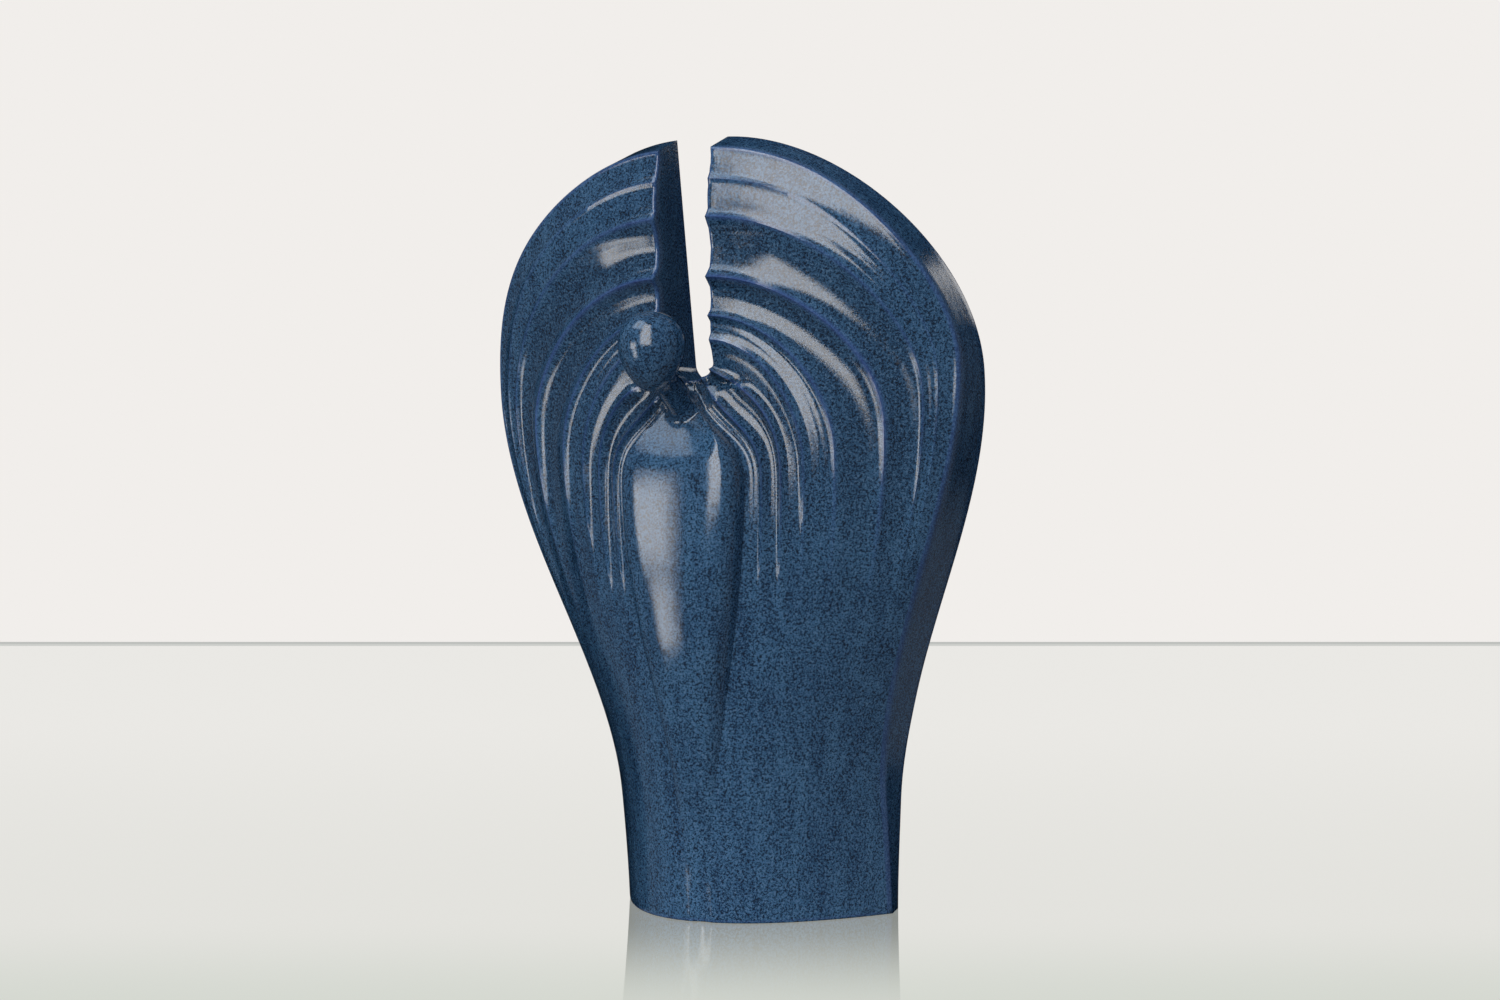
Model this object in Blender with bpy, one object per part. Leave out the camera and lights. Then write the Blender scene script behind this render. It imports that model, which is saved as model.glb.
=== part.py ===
"""Funeral urn: two raised wings around a robed figure, one hollow glazed casting, and its stopper.

Metres, +Z up. The urn stands on Z = 0 and faces -Y, and X = 0 is its plane of symmetry. The origin
is the middle of its bounding box in X and Y, on the surface that it stands on.

The form is worked out on one half, X >= 0, by a family of lines. A line starts on the edge of the slot
between the wings, swings out over the shoulder and runs down to the foot. The number of a line, s,
is 0 on the middle plane, 1 in the valley beside the robe, 2 and up on the crests of the feathers,
and highest on the wing's rim. The place along a line, t, is 0 at the slot and 1 at the foot.
"""

import math

import bmesh
import bpy
import numpy as np

# Overall form
HEIGHT = 0.4032
WING_WIDTH = 0.2656
FOOT_WIDTH = 0.1553
WIDEST_HEIGHT = 0.2827
FOOT_RIM_HEIGHT = 0.0596

# Slot between the wings
SLOT_WIDTH = 0.029
NOTCH_HEIGHT = 0.277
NOTCH_ROUND = 0.009

# Front: how far it stands forward on the middle plane, and how far it wraps back at the rim
FOOT_FRONT = 0.0695
BELLY_FRONT = 0.0890
BROW_FRONT = 0.0970
NOTCH_FRONT = 0.0900
TOP_FRONT = 0.0880
BELLY_HEIGHT = 0.211
BROW_HEIGHT = 0.345
WRAP_FOOT = 0.0693
WRAP_WING = 0.0427
WRAP_POWER = 2.15

# Back: a plain sheet that leans forward as it rises and is slightly hollow across
FOOT_BACK = 0.0108
TOP_THICK = 0.0218
BACK_HOLLOW_FOOT = 0.0147
BACK_HOLLOW_WING = 0.0264

# Rim: how far its back edge stands out past its front edge
RIM_FLARE_TOP = 0.0095
RIM_FLARE_WIDEST = 0.0026
RIM_FLARE_WAIST = 0.0026
RIM_FLARE_FOOT = -0.0056
EDGE_ROUND = 0.0022

# Robe
ROBE_HEIGHT = 0.246
ROBE_SWELL = 0.0155
ROBE_LEVELS = [0.0, 0.2, 0.44, 0.61, 0.75, 1.0, 1.04, 1.08, 1.126]
ROBE_FULLNESS = [-0.1, 0.1, 0.58, 0.92, 1.0, 0.88, 0.78, 0.52, 0.0]
ROBE_SOFT = 1.1
ROBE_SQUARE = 0.70
ROBE_ROUND = 2.0
ROBE_FLAT = 4.0
VALLEY_DEPTH = 0.0015
THROAT_DEPTH = 0.006
THROAT_REACH = 0.021

# Head and neck
HEAD_WIDTH = 0.0326
HEAD_DEPTH = 0.0340
HEAD_TALL = 0.0394
HEAD_TAPER = 0.20
HEAD_REACH = 0.034
HEAD_FORWARD = NOTCH_FRONT + HEAD_REACH
HEAD_RISE = 0.0118
HEAD_MIDDLE_HEIGHT = NOTCH_HEIGHT + HEAD_RISE
NECK_TOP_WIDTH = 0.020
NECK_FOOT_WIDTH = 0.025
NECK_ROOT = 0.006
NECK_FOOT_FORWARD = NOTCH_FRONT - NECK_ROOT
NECK_FOOT_DROP = 0.012
NECK_FOOT_HEIGHT = NOTCH_HEIGHT - NECK_FOOT_DROP
NECK_TOP_DROP = 0.0078
NECK_TOP_HEIGHT = HEAD_MIDDLE_HEIGHT - NECK_TOP_DROP
NECK_ARCH = 0.0035

# Walls, filling hole and stopper
WALL = 0.0055
FLOOR = 0.008
HOLE_DIAMETER = 0.042
HOLE_FORWARD = 0.030
RECESS_DIAMETER = 0.052
RECESS_DEPTH = 0.0035
FIT_GAP = 0.0003
FLANGE_THICK = 0.0022
LIP_OVERHANG = 0.0012
LIP_THICK = 0.003
PULL_DIAMETER = 0.014
PULL_DEPTH = 0.0012

# Lines of the wing, from the middle plane to the rim. The start is a place on the slot's edge: 0 to 1
# round the notch, then 1 to 2 up the side. The widest place and the foot are shares of the wing's
# and the foot's half widths, and the level of the widest place is a share of the rim's.
# The groove is the depth of the groove that lies inside the line, as a share of the deepest.
MIDDLE = {"start": 0.00, "widest": 0.000, "foot": 0.00, "level": 0.71, "groove": 0.0}
VALLEY = {"start": 0.13, "widest": 0.250, "foot": 0.08, "level": 0.80, "groove": 0.0}
FEATHERS = [
    {"start": 0.37, "widest": 0.315, "foot": 0.30, "level": 0.80, "groove": 0.20},
    {"start": 0.73, "widest": 0.387, "foot": 0.42, "level": 0.81, "groove": 0.47},
    {"start": 1.10, "widest": 0.470, "foot": 0.54, "level": 0.83, "groove": 0.48},
    {"start": 1.21, "widest": 0.580, "foot": 0.64, "level": 0.85, "groove": 0.37},
    {"start": 1.39, "widest": 0.750, "foot": 0.77, "level": 0.90, "groove": 0.69},
    {"start": 1.67, "widest": 0.880, "foot": 0.87, "level": 0.945, "groove": 1.00},
    {"start": 1.85, "widest": 0.930, "foot": 0.93, "level": 0.975, "groove": 0.16},
    {"start": 2.00, "widest": 1.000, "foot": 1.00, "level": 1.00, "groove": 0.20},
]
LINES = [MIDDLE, VALLEY] + FEATHERS
RIM = len(LINES) - 1
ARC_PULL = 0.505
WING_SHARE = 0.46
CREST_ROUND = 0.22
GROOVE_DEPTH = 0.0075
GROOVE_FADE_LOW = 0.055
GROOVE_FADE_HIGH = 0.215

# Fineness of the faceted solids
ROBE_COLUMNS = 5
FEATHER_COLUMNS = 3
WING_ROWS = 12
SKIRT_ROWS = 11
BAND_STEPS = 2
CHAMBER_ROWS = 7
EGG_RINGS = 12
EGG_SIDES = 20
NECK_RINGS = 5
ROUND_SIDES = 32
JOIN_DISTANCE = 0.00002

GLAZE_BLUE = (0.036, 0.112, 0.235)
RUBBER_GREY = (0.030, 0.032, 0.036)


def remove_all_objects():
    """Empty the scene."""
    for thing in list(bpy.data.objects):
        bpy.data.objects.remove(thing, do_unlink=True)


def smooth_step(value):
    """Rise from 0 to 1 with level ends as value goes from 0 to 1."""
    clipped = np.clip(value, 0.0, 1.0)
    return clipped * clipped * (3.0 - 2.0 * clipped)


def flowing(places, values, wanted):
    """Read a smooth curve through (places, values) that never overshoots them."""
    places = np.asarray(places, float)
    values = np.asarray(values, float)
    steps = np.diff(places)
    slopes = np.diff(values) / steps
    turning = slopes[:-1] * slopes[1:] <= 0.0
    total = np.where(turning, 1.0, slopes[:-1] + slopes[1:])
    inner = np.where(turning, 0.0, 2.0 * slopes[:-1] * slopes[1:] / total)
    tangents = np.concatenate([[slopes[0]], inner, [slopes[-1]]])
    wanted = np.clip(wanted, places[0], places[-1])
    cell = np.clip(np.searchsorted(places, wanted, side="right") - 1, 0, len(steps) - 1)
    width = steps[cell]
    u = (wanted - places[cell]) / width
    return (
        values[cell] * (1.0 + 2.0 * u) * (1.0 - u) ** 2
        + values[cell + 1] * u * u * (3.0 - 2.0 * u)
        + width * tangents[cell] * u * (1.0 - u) ** 2
        - width * tangents[cell + 1] * u * u * (1.0 - u)
    )


def line_value(key, s):
    """The named size of the wing's lines at line number s."""
    return flowing(range(len(LINES)), [line[key] for line in LINES], s)


def cubic(p0, p1, p2, p3, u):
    """Bezier curve through four control values."""
    v = 1.0 - u
    return v ** 3 * p0 + 3.0 * u * v * v * p1 + 3.0 * u * u * v * p2 + u ** 3 * p3


def slot_edge(s, inset):
    """Where line s starts, and the way into the clay there: x, z and a unit vector."""
    start = line_value("start", s)
    angle = np.clip(start, 0.0, 1.0) * math.pi / 2.0
    climb = np.clip(start - 1.0, 0.0, 1.0)
    low = NOTCH_HEIGHT - inset
    high = HEIGHT - RIM_FLARE_TOP - inset
    x = (SLOT_WIDTH / 2.0 + inset) * np.sin(angle)
    z = low + NOTCH_ROUND * (1.0 - np.cos(angle)) + climb * (high - low - NOTCH_ROUND)
    return x, z, np.sin(angle), -np.cos(angle)


def wing_point(s, t, inset=0.0, low=0.0):
    """Point (x, z) of line s at place t, on a form drawn in by inset that ends at height low."""
    share = s / RIM
    widest = line_value("widest", s) * WING_WIDTH / 2.0 - inset * share
    foot = line_value("foot", s) * FOOT_WIDTH / 2.0 - inset * share
    level = line_value("level", s) * WIDEST_HEIGHT
    x0, z0, nx, nz = slot_edge(s, inset)
    pull = ARC_PULL * ((widest - x0) * nx + (level - z0) * nz)
    u = np.clip(t / WING_SHARE, 0.0, 1.0)
    x_wing = cubic(x0, x0 + nx * pull, widest, widest, u)
    z_wing = cubic(z0, z0 + nz * pull, level + ARC_PULL * (z0 - level), level, u)
    down = np.clip((t - WING_SHARE) / (1.0 - WING_SHARE), 0.0, 1.0)
    z_skirt = level + (low - level) * down
    straight = FOOT_RIM_HEIGHT * share
    x_skirt = foot + (widest - foot) * smooth_step((z_skirt - straight) / (level - straight))
    on_skirt = t > WING_SHARE
    return np.where(on_skirt, x_skirt, x_wing), np.where(on_skirt, z_skirt, z_wing)


def half_width(z):
    """Half width of the rim at height z, or its widest above its widest place."""
    rise = smooth_step((z - FOOT_RIM_HEIGHT) / (WIDEST_HEIGHT - FOOT_RIM_HEIGHT))
    return (FOOT_WIDTH + (WING_WIDTH - FOOT_WIDTH) * rise) / 2.0


def front_depth(x, z):
    """Y of the front at (x, z), without the robe and the grooves."""
    heights = [0.0, BELLY_HEIGHT, NOTCH_HEIGHT, BROW_HEIGHT, HEIGHT]
    middle = flowing(heights, [FOOT_FRONT, BELLY_FRONT, NOTCH_FRONT, BROW_FRONT, TOP_FRONT], z)
    wrap = WRAP_FOOT + (WRAP_WING - WRAP_FOOT) * smooth_step(z / WIDEST_HEIGHT)
    return wrap * (np.abs(x) / half_width(z)) ** WRAP_POWER - middle


def back_depth(x, z):
    """Y of the back at (x, z)."""
    hollow = BACK_HOLLOW_FOOT + (BACK_HOLLOW_WING - BACK_HOLLOW_FOOT) * smooth_step(z / WIDEST_HEIGHT)
    lean = (FOOT_BACK + TOP_FRONT - TOP_THICK) / HEIGHT
    return FOOT_BACK - lean * z + hollow * (np.abs(x) / half_width(z)) ** 2


def groove_depth(s):
    """Depth of the feather grooves at line s."""
    middles = [number + 1.5 for number in range(len(FEATHERS))]
    return GROOVE_DEPTH * np.interp(s, middles, [feather["groove"] for feather in FEATHERS])


def relief(s, z):
    """How far the grooves cut into the front, less how far the robe stands out of it."""
    fade = smooth_step((z - GROOVE_FADE_LOW) / (GROOVE_FADE_HIGH - GROOVE_FADE_LOW))
    wave = np.sqrt(np.sin(math.pi * s) ** 2 + CREST_ROUND ** 2) - CREST_ROUND
    deepest = math.sqrt(1.0 + CREST_ROUND ** 2) - CREST_ROUND
    grooves = np.where(s > 1.0, groove_depth(s) * fade * wave / deepest, 0.0)
    valley = VALLEY_DEPTH * fade * np.clip(1.0 - np.abs(s - 1.0), 0.0, 1.0) ** 2
    swell = ROBE_SWELL * flowing([ROBE_HEIGHT * level for level in ROBE_LEVELS], ROBE_FULLNESS, z)
    rise = smooth_step(z / ROBE_HEIGHT)
    power = ROBE_ROUND + (ROBE_FLAT - ROBE_ROUND) * rise
    across = (1.0 - np.clip(s, 0.0, 1.0) ** power) ** (ROBE_SOFT + (ROBE_SQUARE - ROBE_SOFT) * rise)
    return grooves + valley - swell * across


def throat(x, z):
    """How far the round hollow above the chest cuts into the front."""
    share = (x ** 2 + (z - NOTCH_HEIGHT) ** 2) / THROAT_REACH ** 2
    return THROAT_DEPTH * np.clip(1.0 - share, 0.0, 1.0) ** 2


def slope_factor(depth, x, z):
    """Length of a wall along Y for each metre of it square to the sheet depth(x, z)."""
    step = 0.001
    across = (depth(x + step, z) - depth(x - step, z)) / (2.0 * step)
    upward = (depth(x, z + step) - depth(x, z - step)) / (2.0 * step)
    return np.sqrt(1.0 + across ** 2 + upward ** 2)


def rim_outward(t, inset, low):
    """Unit vector (x, z) out of the rim at place t, in the plane of the wing."""
    step = 0.004
    x1, z1 = wing_point(RIM, np.clip(t - step, 0.0, 1.0), inset, low)
    x2, z2 = wing_point(RIM, np.clip(t + step, 0.0, 1.0), inset, low)
    length = np.hypot(x2 - x1, z2 - z1)
    return (z1 - z2) / length, (x2 - x1) / length


def rim_flare(t):
    """How far the rim's back edge stands out past its front edge at place t."""
    flares = [RIM_FLARE_TOP, RIM_FLARE_WIDEST, RIM_FLARE_WAIST, RIM_FLARE_FOOT]
    return flowing([0.0, WING_SHARE, 0.78, 1.0], flares, t)


def back_place(x, z, s, t, inset, low):
    """The place (x, z) on the back that lies behind (x, z) on the front."""
    out_x, out_z = rim_outward(t, inset, low)
    flare = rim_flare(t) * (s / RIM) ** 2
    settle = np.clip((1.0 - t) / (1.0 - WING_SHARE), 0.0, 1.0)
    return x + out_x * flare, z + out_z * flare * settle


def outer_sheets():
    """Front and back of the urn on its half: arrays by column, row and xyz.

    The outermost rows and column lie on the sharp edges, and the ones inside them EDGE_ROUND away,
    so that the edges can be rounded between.
    """
    robe = np.linspace(0.0, 1.0, ROBE_COLUMNS + 1)[:-1]
    feathers = np.linspace(1.0, RIM - 1.0, (RIM - 2) * FEATHER_COLUMNS + 1)
    columns = np.concatenate([robe, feathers, [RIM - 0.5, RIM - 0.2, RIM]])
    wing = np.linspace(0.0, WING_SHARE, WING_ROWS + 1)[1:]
    skirt = np.linspace(WING_SHARE, 1.0, SKIRT_ROWS + 1)[1:-1]
    rows = np.concatenate([[0.0, 0.006], wing, skirt, [0.995, 1.0]])
    s, t = np.meshgrid(columns, rows, indexing="ij")
    x, z = wing_point(s, t)
    x0, z0, nx, nz = slot_edge(columns, 0.0)
    x[:, 1] = x0 + nx * EDGE_ROUND
    z[:, 1] = z0 + nz * EDGE_ROUND
    z[:, -2] = EDGE_ROUND
    out_x, out_z = rim_outward(rows, 0.0, 0.0)
    x[-2] = x[-1] - out_x * EDGE_ROUND
    z[-2, 1:-2] = z[-1, 1:-2] - out_z[1:-2] * EDGE_ROUND
    front = np.stack([x, front_depth(x, z) + relief(s, z) + throat(x, z), z], -1)
    back_x, back_z = back_place(x, z, s, t, 0.0, 0.0)
    back_z[:, -2] = EDGE_ROUND
    back = np.stack([back_x, back_depth(back_x, back_z), back_z], -1)
    return front, back


def chamber_sheets():
    """Front and back of the hollow on its half, WALL inside the urn at the bottoms of the grooves."""
    columns = np.concatenate([[0.0, 0.5], np.arange(1.0, RIM + 1.0)])
    wing = np.linspace(0.0, WING_SHARE, CHAMBER_ROWS + 1)[:-1]
    rows = np.concatenate([wing, np.linspace(WING_SHARE, 1.0, CHAMBER_ROWS + 1)])
    s, t = np.meshgrid(columns, rows, indexing="ij")
    x, z = wing_point(s, t, WALL, FLOOR)
    front_wall = WALL * slope_factor(front_depth, x, z) + np.where(s > 1.0, groove_depth(s), 0.0) + throat(x, z)
    front = np.stack([x, front_depth(x, z) + front_wall, z], -1)
    back_x, back_z = back_place(x, z, s, t, WALL, FLOOR)
    back_wall = WALL * slope_factor(back_depth, back_x, back_z)
    back = np.stack([back_x, back_depth(back_x, back_z) - back_wall, back_z], -1)
    return front, back


def border(grid):
    """Points of a sheet along the slot, then down the rim, then along the foot to the middle."""
    return np.concatenate([grid[:, 0], grid[-1, 1:], grid[:-1, -1][::-1]])


def sharp_border(grid):
    """The sharp edge points that go with the border of the same grid without its outermost rows."""
    slot = grid[:-2, 0]
    rim = grid[-1, 2:-2]
    foot = grid[:-2, -1][::-1]
    return np.concatenate([slot, grid[-1:, 0], rim, grid[-1:, -1], foot])


def rounded_band(front, back, sharp_front, sharp_back):
    """Rings of points across the edge: a rounded corner, a straight wall, a second rounded corner."""
    across = sharp_back - sharp_front
    unit = across / np.linalg.norm(across, axis=-1, keepdims=True)
    near = sharp_front + unit * EDGE_ROUND
    far = sharp_back - unit * EDGE_ROUND
    near_corner = (front + 2.0 * sharp_front + near) / 4.0
    far_corner = (back + 2.0 * sharp_back + far) / 4.0
    straight = [near + (far - near) * step / BAND_STEPS for step in range(BAND_STEPS + 1)]
    return [near_corner] + straight + [far_corner]


def sheet_faces(columns, rows, offset, turned):
    """Quads of a sheet whose points are numbered from offset, column by column."""
    faces = []
    for column in range(columns - 1):
        for row in range(rows - 1):
            a = offset + column * rows + row
            face = (a, a + 1, a + rows + 1, a + rows)
            faces.append(face[::-1] if turned else face)
    return faces


def half_form(front, back, rings):
    """Points and quads of one half of a closed form: two sheets and the rings between them."""
    columns, rows = front.shape[:2]
    numbers = np.arange(columns * rows).reshape(columns, rows)
    front_ring = border(numbers[:, :, None])[:, 0]
    chain = [front_ring]
    start = 2 * columns * rows
    for ring in rings:
        chain.append(np.arange(start, start + len(ring)))
        start += len(ring)
    chain.append(front_ring + columns * rows)
    faces = sheet_faces(columns, rows, 0, False) + sheet_faces(columns, rows, columns * rows, True)
    for here, there in zip(chain[:-1], chain[1:]):
        for number in range(len(here) - 1):
            faces.append((here[number], here[number + 1], there[number + 1], there[number]))
    points = np.concatenate([front.reshape(-1, 3), back.reshape(-1, 3)] + rings)
    return points, faces


def mirrored_mesh(name, points, faces):
    """A closed mesh from one half and its mirror image, joined on the middle plane."""
    count = len(points)
    both = np.concatenate([points, points * np.array([-1.0, 1.0, 1.0])])
    other = [tuple(count + index for index in face[::-1]) for face in faces]
    mesh = bpy.data.meshes.new(name)
    mesh.from_pydata(both.tolist(), [], [tuple(int(index) for index in face) for face in faces + other])
    return finished_mesh(mesh)


def finished_mesh(mesh):
    """Join the doubled points of a mesh, turn its faces outwards and make them triangles."""
    shape = bmesh.new()
    shape.from_mesh(mesh)
    bmesh.ops.remove_doubles(shape, verts=shape.verts, dist=JOIN_DISTANCE)
    bmesh.ops.dissolve_degenerate(shape, edges=shape.edges, dist=JOIN_DISTANCE)
    bmesh.ops.triangulate(shape, faces=shape.faces, quad_method="FIXED")
    bmesh.ops.recalc_face_normals(shape, faces=shape.faces)
    shape.to_mesh(mesh)
    shape.free()
    return mesh


def body_mesh():
    """The outside of the urn, without its head."""
    front, back = outer_sheets()
    inner_front = front[:-1, 1:-1]
    inner_back = back[:-1, 1:-1]
    rings = rounded_band(border(inner_front), border(inner_back), sharp_border(front), sharp_border(back))
    points, faces = half_form(inner_front, inner_back, rings)
    return mirrored_mesh("urn_body", points, faces)


def chamber_mesh():
    """The hollow for the ashes."""
    front, back = chamber_sheets()
    middle = (border(front) + border(back)) / 2.0
    points, faces = half_form(front, back, [middle])
    return mirrored_mesh("ash_chamber", points, faces)


def turned_mesh(name, profile, sides):
    """A mesh turned about Z from a closed profile of (radius, height) that starts and ends on the axis."""
    angles = np.arange(sides) * 2.0 * math.pi / sides
    rings = [
        np.stack([radius * np.cos(angles), radius * np.sin(angles), np.full(sides, height)], -1)
        for radius, height in profile[1:-1]
    ]
    poles = np.array([[0.0, 0.0, profile[0][1]], [0.0, 0.0, profile[-1][1]]])
    points = np.concatenate(rings + [poles])
    first, last = len(points) - 2, len(points) - 1
    faces = []
    for side in range(sides):
        after = (side + 1) % sides
        faces.append((first, side, after))
        top = (len(rings) - 1) * sides
        faces.append((last, top + after, top + side))
        for ring in range(len(rings) - 1):
            low, high = ring * sides, (ring + 1) * sides
            faces.append((low + side, high + side, high + after, low + after))
    mesh = bpy.data.meshes.new(name)
    mesh.from_pydata(points.tolist(), [], faces)
    return finished_mesh(mesh)


def egg_mesh():
    """The head: a plain egg, narrow end down, about its own middle."""
    profile = []
    for ring in range(EGG_RINGS + 1):
        angle = math.pi * ring / EGG_RINGS
        height = -math.cos(angle)
        radius = math.sin(angle) * (1.0 + HEAD_TAPER * height)
        profile.append((radius / 2.0, height * HEAD_TALL / 2.0))
    mesh = turned_mesh("head_form", profile, EGG_SIDES)
    for vertex in mesh.vertices:
        vertex.co.x *= HEAD_WIDTH
        vertex.co.y *= HEAD_DEPTH
    return mesh


def neck_mesh():
    """The neck: a round bar that thins as it leans forward from the chest into the head."""
    shares = np.linspace(0.0, 1.0, NECK_RINGS)
    run = HEAD_FORWARD - NECK_FOOT_FORWARD
    rise = NECK_TOP_HEIGHT - NECK_FOOT_HEIGHT
    middles_y = -NECK_FOOT_FORWARD - run * shares
    middles_z = NECK_FOOT_HEIGHT + rise * shares + NECK_ARCH * 4.0 * shares * (1.0 - shares)
    radii = (NECK_TOP_WIDTH + (NECK_FOOT_WIDTH - NECK_TOP_WIDTH) * (1.0 - shares) ** 2) / 2.0
    length = math.hypot(run, rise)
    angles = np.arange(EGG_SIDES) * 2.0 * math.pi / EGG_SIDES
    across = np.cos(angles)[None, :] * radii[:, None]
    upward = np.sin(angles)[None, :] * radii[:, None]
    y = middles_y[:, None] + upward * rise / length
    z = middles_z[:, None] + upward * run / length
    points = np.stack([across, y, z], -1).reshape(-1, 3)
    faces = [tuple(range(EGG_SIDES)), tuple(range(len(points) - 1, len(points) - EGG_SIDES - 1, -1))]
    for ring in range(NECK_RINGS - 1):
        low, high = ring * EGG_SIDES, (ring + 1) * EGG_SIDES
        for side in range(EGG_SIDES):
            after = (side + 1) % EGG_SIDES
            faces.append((low + side, low + after, high + after, high + side))
    mesh = bpy.data.meshes.new("neck_form")
    mesh.from_pydata(points.tolist(), [], faces)
    return finished_mesh(mesh)


def hole_mesh():
    """The filling hole through the floor, with the recess for the stopper's flange below."""
    radius = HOLE_DIAMETER / 2.0
    recess = RECESS_DIAMETER / 2.0
    below = -FLOOR
    profile = [
        (0.0, below),
        (recess, below),
        (recess, RECESS_DEPTH),
        (radius, RECESS_DEPTH),
        (radius, FLOOR + WALL),
        (0.0, FLOOR + WALL),
    ]
    return turned_mesh("filling_hole", profile, ROUND_SIDES)


def stopper_mesh():
    """The stopper: a flange in the recess, a neck in the hole and a lip that grips above the floor."""
    flange = RECESS_DIAMETER / 2.0 - FIT_GAP
    neck = HOLE_DIAMETER / 2.0 - FIT_GAP
    under = RECESS_DEPTH - FIT_GAP
    bottom = under - FLANGE_THICK
    over = FLOOR + FIT_GAP
    pull = PULL_DIAMETER / 2.0
    profile = [
        (0.0, bottom + PULL_DEPTH),
        (pull, bottom + PULL_DEPTH),
        (pull + PULL_DEPTH, bottom),
        (flange, bottom),
        (flange, under),
        (neck, under),
        (neck, over),
        (HOLE_DIAMETER / 2.0 + LIP_OVERHANG, over),
        (neck - LIP_OVERHANG, over + LIP_THICK),
        (0.0, over + LIP_THICK),
    ]
    return turned_mesh("base_stopper", profile, ROUND_SIDES)


def make_material(name, colour, roughness, coat):
    """A plain material with a Principled shader."""
    material = bpy.data.materials.new(name)
    material.use_nodes = True
    shader = material.node_tree.nodes["Principled BSDF"]
    shader.inputs["Base Color"].default_value = (*colour, 1.0)
    shader.inputs["Roughness"].default_value = roughness
    shader.inputs["Metallic"].default_value = 0.0
    shader.inputs["Coat Weight"].default_value = coat
    return material


def place(mesh, parent, location=(0.0, 0.0, 0.0)):
    """An object for a mesh, under a parent."""
    thing = bpy.data.objects.new(mesh.name, mesh)
    bpy.context.scene.collection.objects.link(thing)
    thing.location = location
    thing.parent = parent
    return thing


def cut(target, tool, operation):
    """Join a tool to the target or cut it away, and keep the tool out of the model."""
    modifier = target.modifiers.new(tool.name, "BOOLEAN")
    modifier.operation = operation
    modifier.solver = "EXACT"
    modifier.object = tool
    tool.hide_render = True
    tool.display_type = "WIRE"


def middle_of_depth(outside, head):
    """Y of the middle of the bounding box of the body with its head."""
    depths = [vertex.co.y for vertex in outside.vertices]
    head_depths = [vertex.co.y - HEAD_FORWARD for vertex in head.vertices]
    return (min(depths + head_depths) + max(depths + head_depths)) / 2.0


def build():
    """Model the urn and its stopper."""
    remove_all_objects()
    outside = body_mesh()
    head = egg_mesh()
    whole = bpy.data.objects.new("urn", None)
    bpy.context.scene.collection.objects.link(whole)
    whole.location = (0.0, -middle_of_depth(outside, head), 0.0)

    body = place(outside, whole)
    body.data.materials.append(make_material("blue_glaze", GLAZE_BLUE, 0.25, 1.0))
    hole_place = (0.0, -HOLE_FORWARD, 0.0)
    head_place = (0.0, -HEAD_FORWARD, HEAD_MIDDLE_HEIGHT)
    cut(body, place(neck_mesh(), whole), "UNION")
    cut(body, place(head, whole, head_place), "UNION")
    cut(body, place(chamber_mesh(), whole), "DIFFERENCE")
    cut(body, place(hole_mesh(), whole, hole_place), "DIFFERENCE")

    stopper = place(stopper_mesh(), whole, hole_place)
    stopper.data.materials.append(make_material("stopper_rubber", RUBBER_GREY, 0.6, 0.0))


build()
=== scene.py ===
"""Dressed model of a funeral urn: two raised wings around a robed figure, under a speckled blue glaze."""

import logging
import math
from collections.abc import Callable, Sequence
from dataclasses import dataclass, field
from enum import Enum

import bmesh
import bpy
import numpy as np
from mathutils import Matrix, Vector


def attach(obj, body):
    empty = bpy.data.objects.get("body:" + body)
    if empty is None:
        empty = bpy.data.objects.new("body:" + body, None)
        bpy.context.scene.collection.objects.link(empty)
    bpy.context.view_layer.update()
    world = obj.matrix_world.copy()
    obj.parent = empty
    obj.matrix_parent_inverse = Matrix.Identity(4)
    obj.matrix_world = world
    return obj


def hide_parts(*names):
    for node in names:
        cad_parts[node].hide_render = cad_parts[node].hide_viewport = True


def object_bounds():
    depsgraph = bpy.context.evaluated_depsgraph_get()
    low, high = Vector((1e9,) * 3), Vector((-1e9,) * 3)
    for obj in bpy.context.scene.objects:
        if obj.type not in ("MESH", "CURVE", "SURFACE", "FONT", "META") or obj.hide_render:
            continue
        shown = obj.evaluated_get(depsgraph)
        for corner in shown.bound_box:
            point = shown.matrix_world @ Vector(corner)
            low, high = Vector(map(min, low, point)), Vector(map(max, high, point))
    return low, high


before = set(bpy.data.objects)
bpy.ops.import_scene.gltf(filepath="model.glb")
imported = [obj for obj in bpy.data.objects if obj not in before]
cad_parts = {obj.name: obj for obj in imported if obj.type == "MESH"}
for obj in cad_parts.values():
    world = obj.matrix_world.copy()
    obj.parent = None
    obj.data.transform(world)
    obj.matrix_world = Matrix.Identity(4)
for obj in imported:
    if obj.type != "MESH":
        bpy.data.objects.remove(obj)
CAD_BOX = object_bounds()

LOG = logging.getLogger("urn")
MIRROR = np.array([-1.0, 1.0, 1.0])

Pair = tuple[np.ndarray, np.ndarray]
Colour = tuple[float, float, float]
Socket = bpy.types.NodeSocket
Value = bpy.types.NodeSocket | float | Colour


def smooth_step(value: np.ndarray) -> np.ndarray:
    """Rise from 0 to 1 with level ends: 3v squared less 2v cubed, with v held between 0 and 1."""
    held = np.clip(value, 0.0, 1.0)
    return held * held * (3.0 - 2.0 * held)


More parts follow.
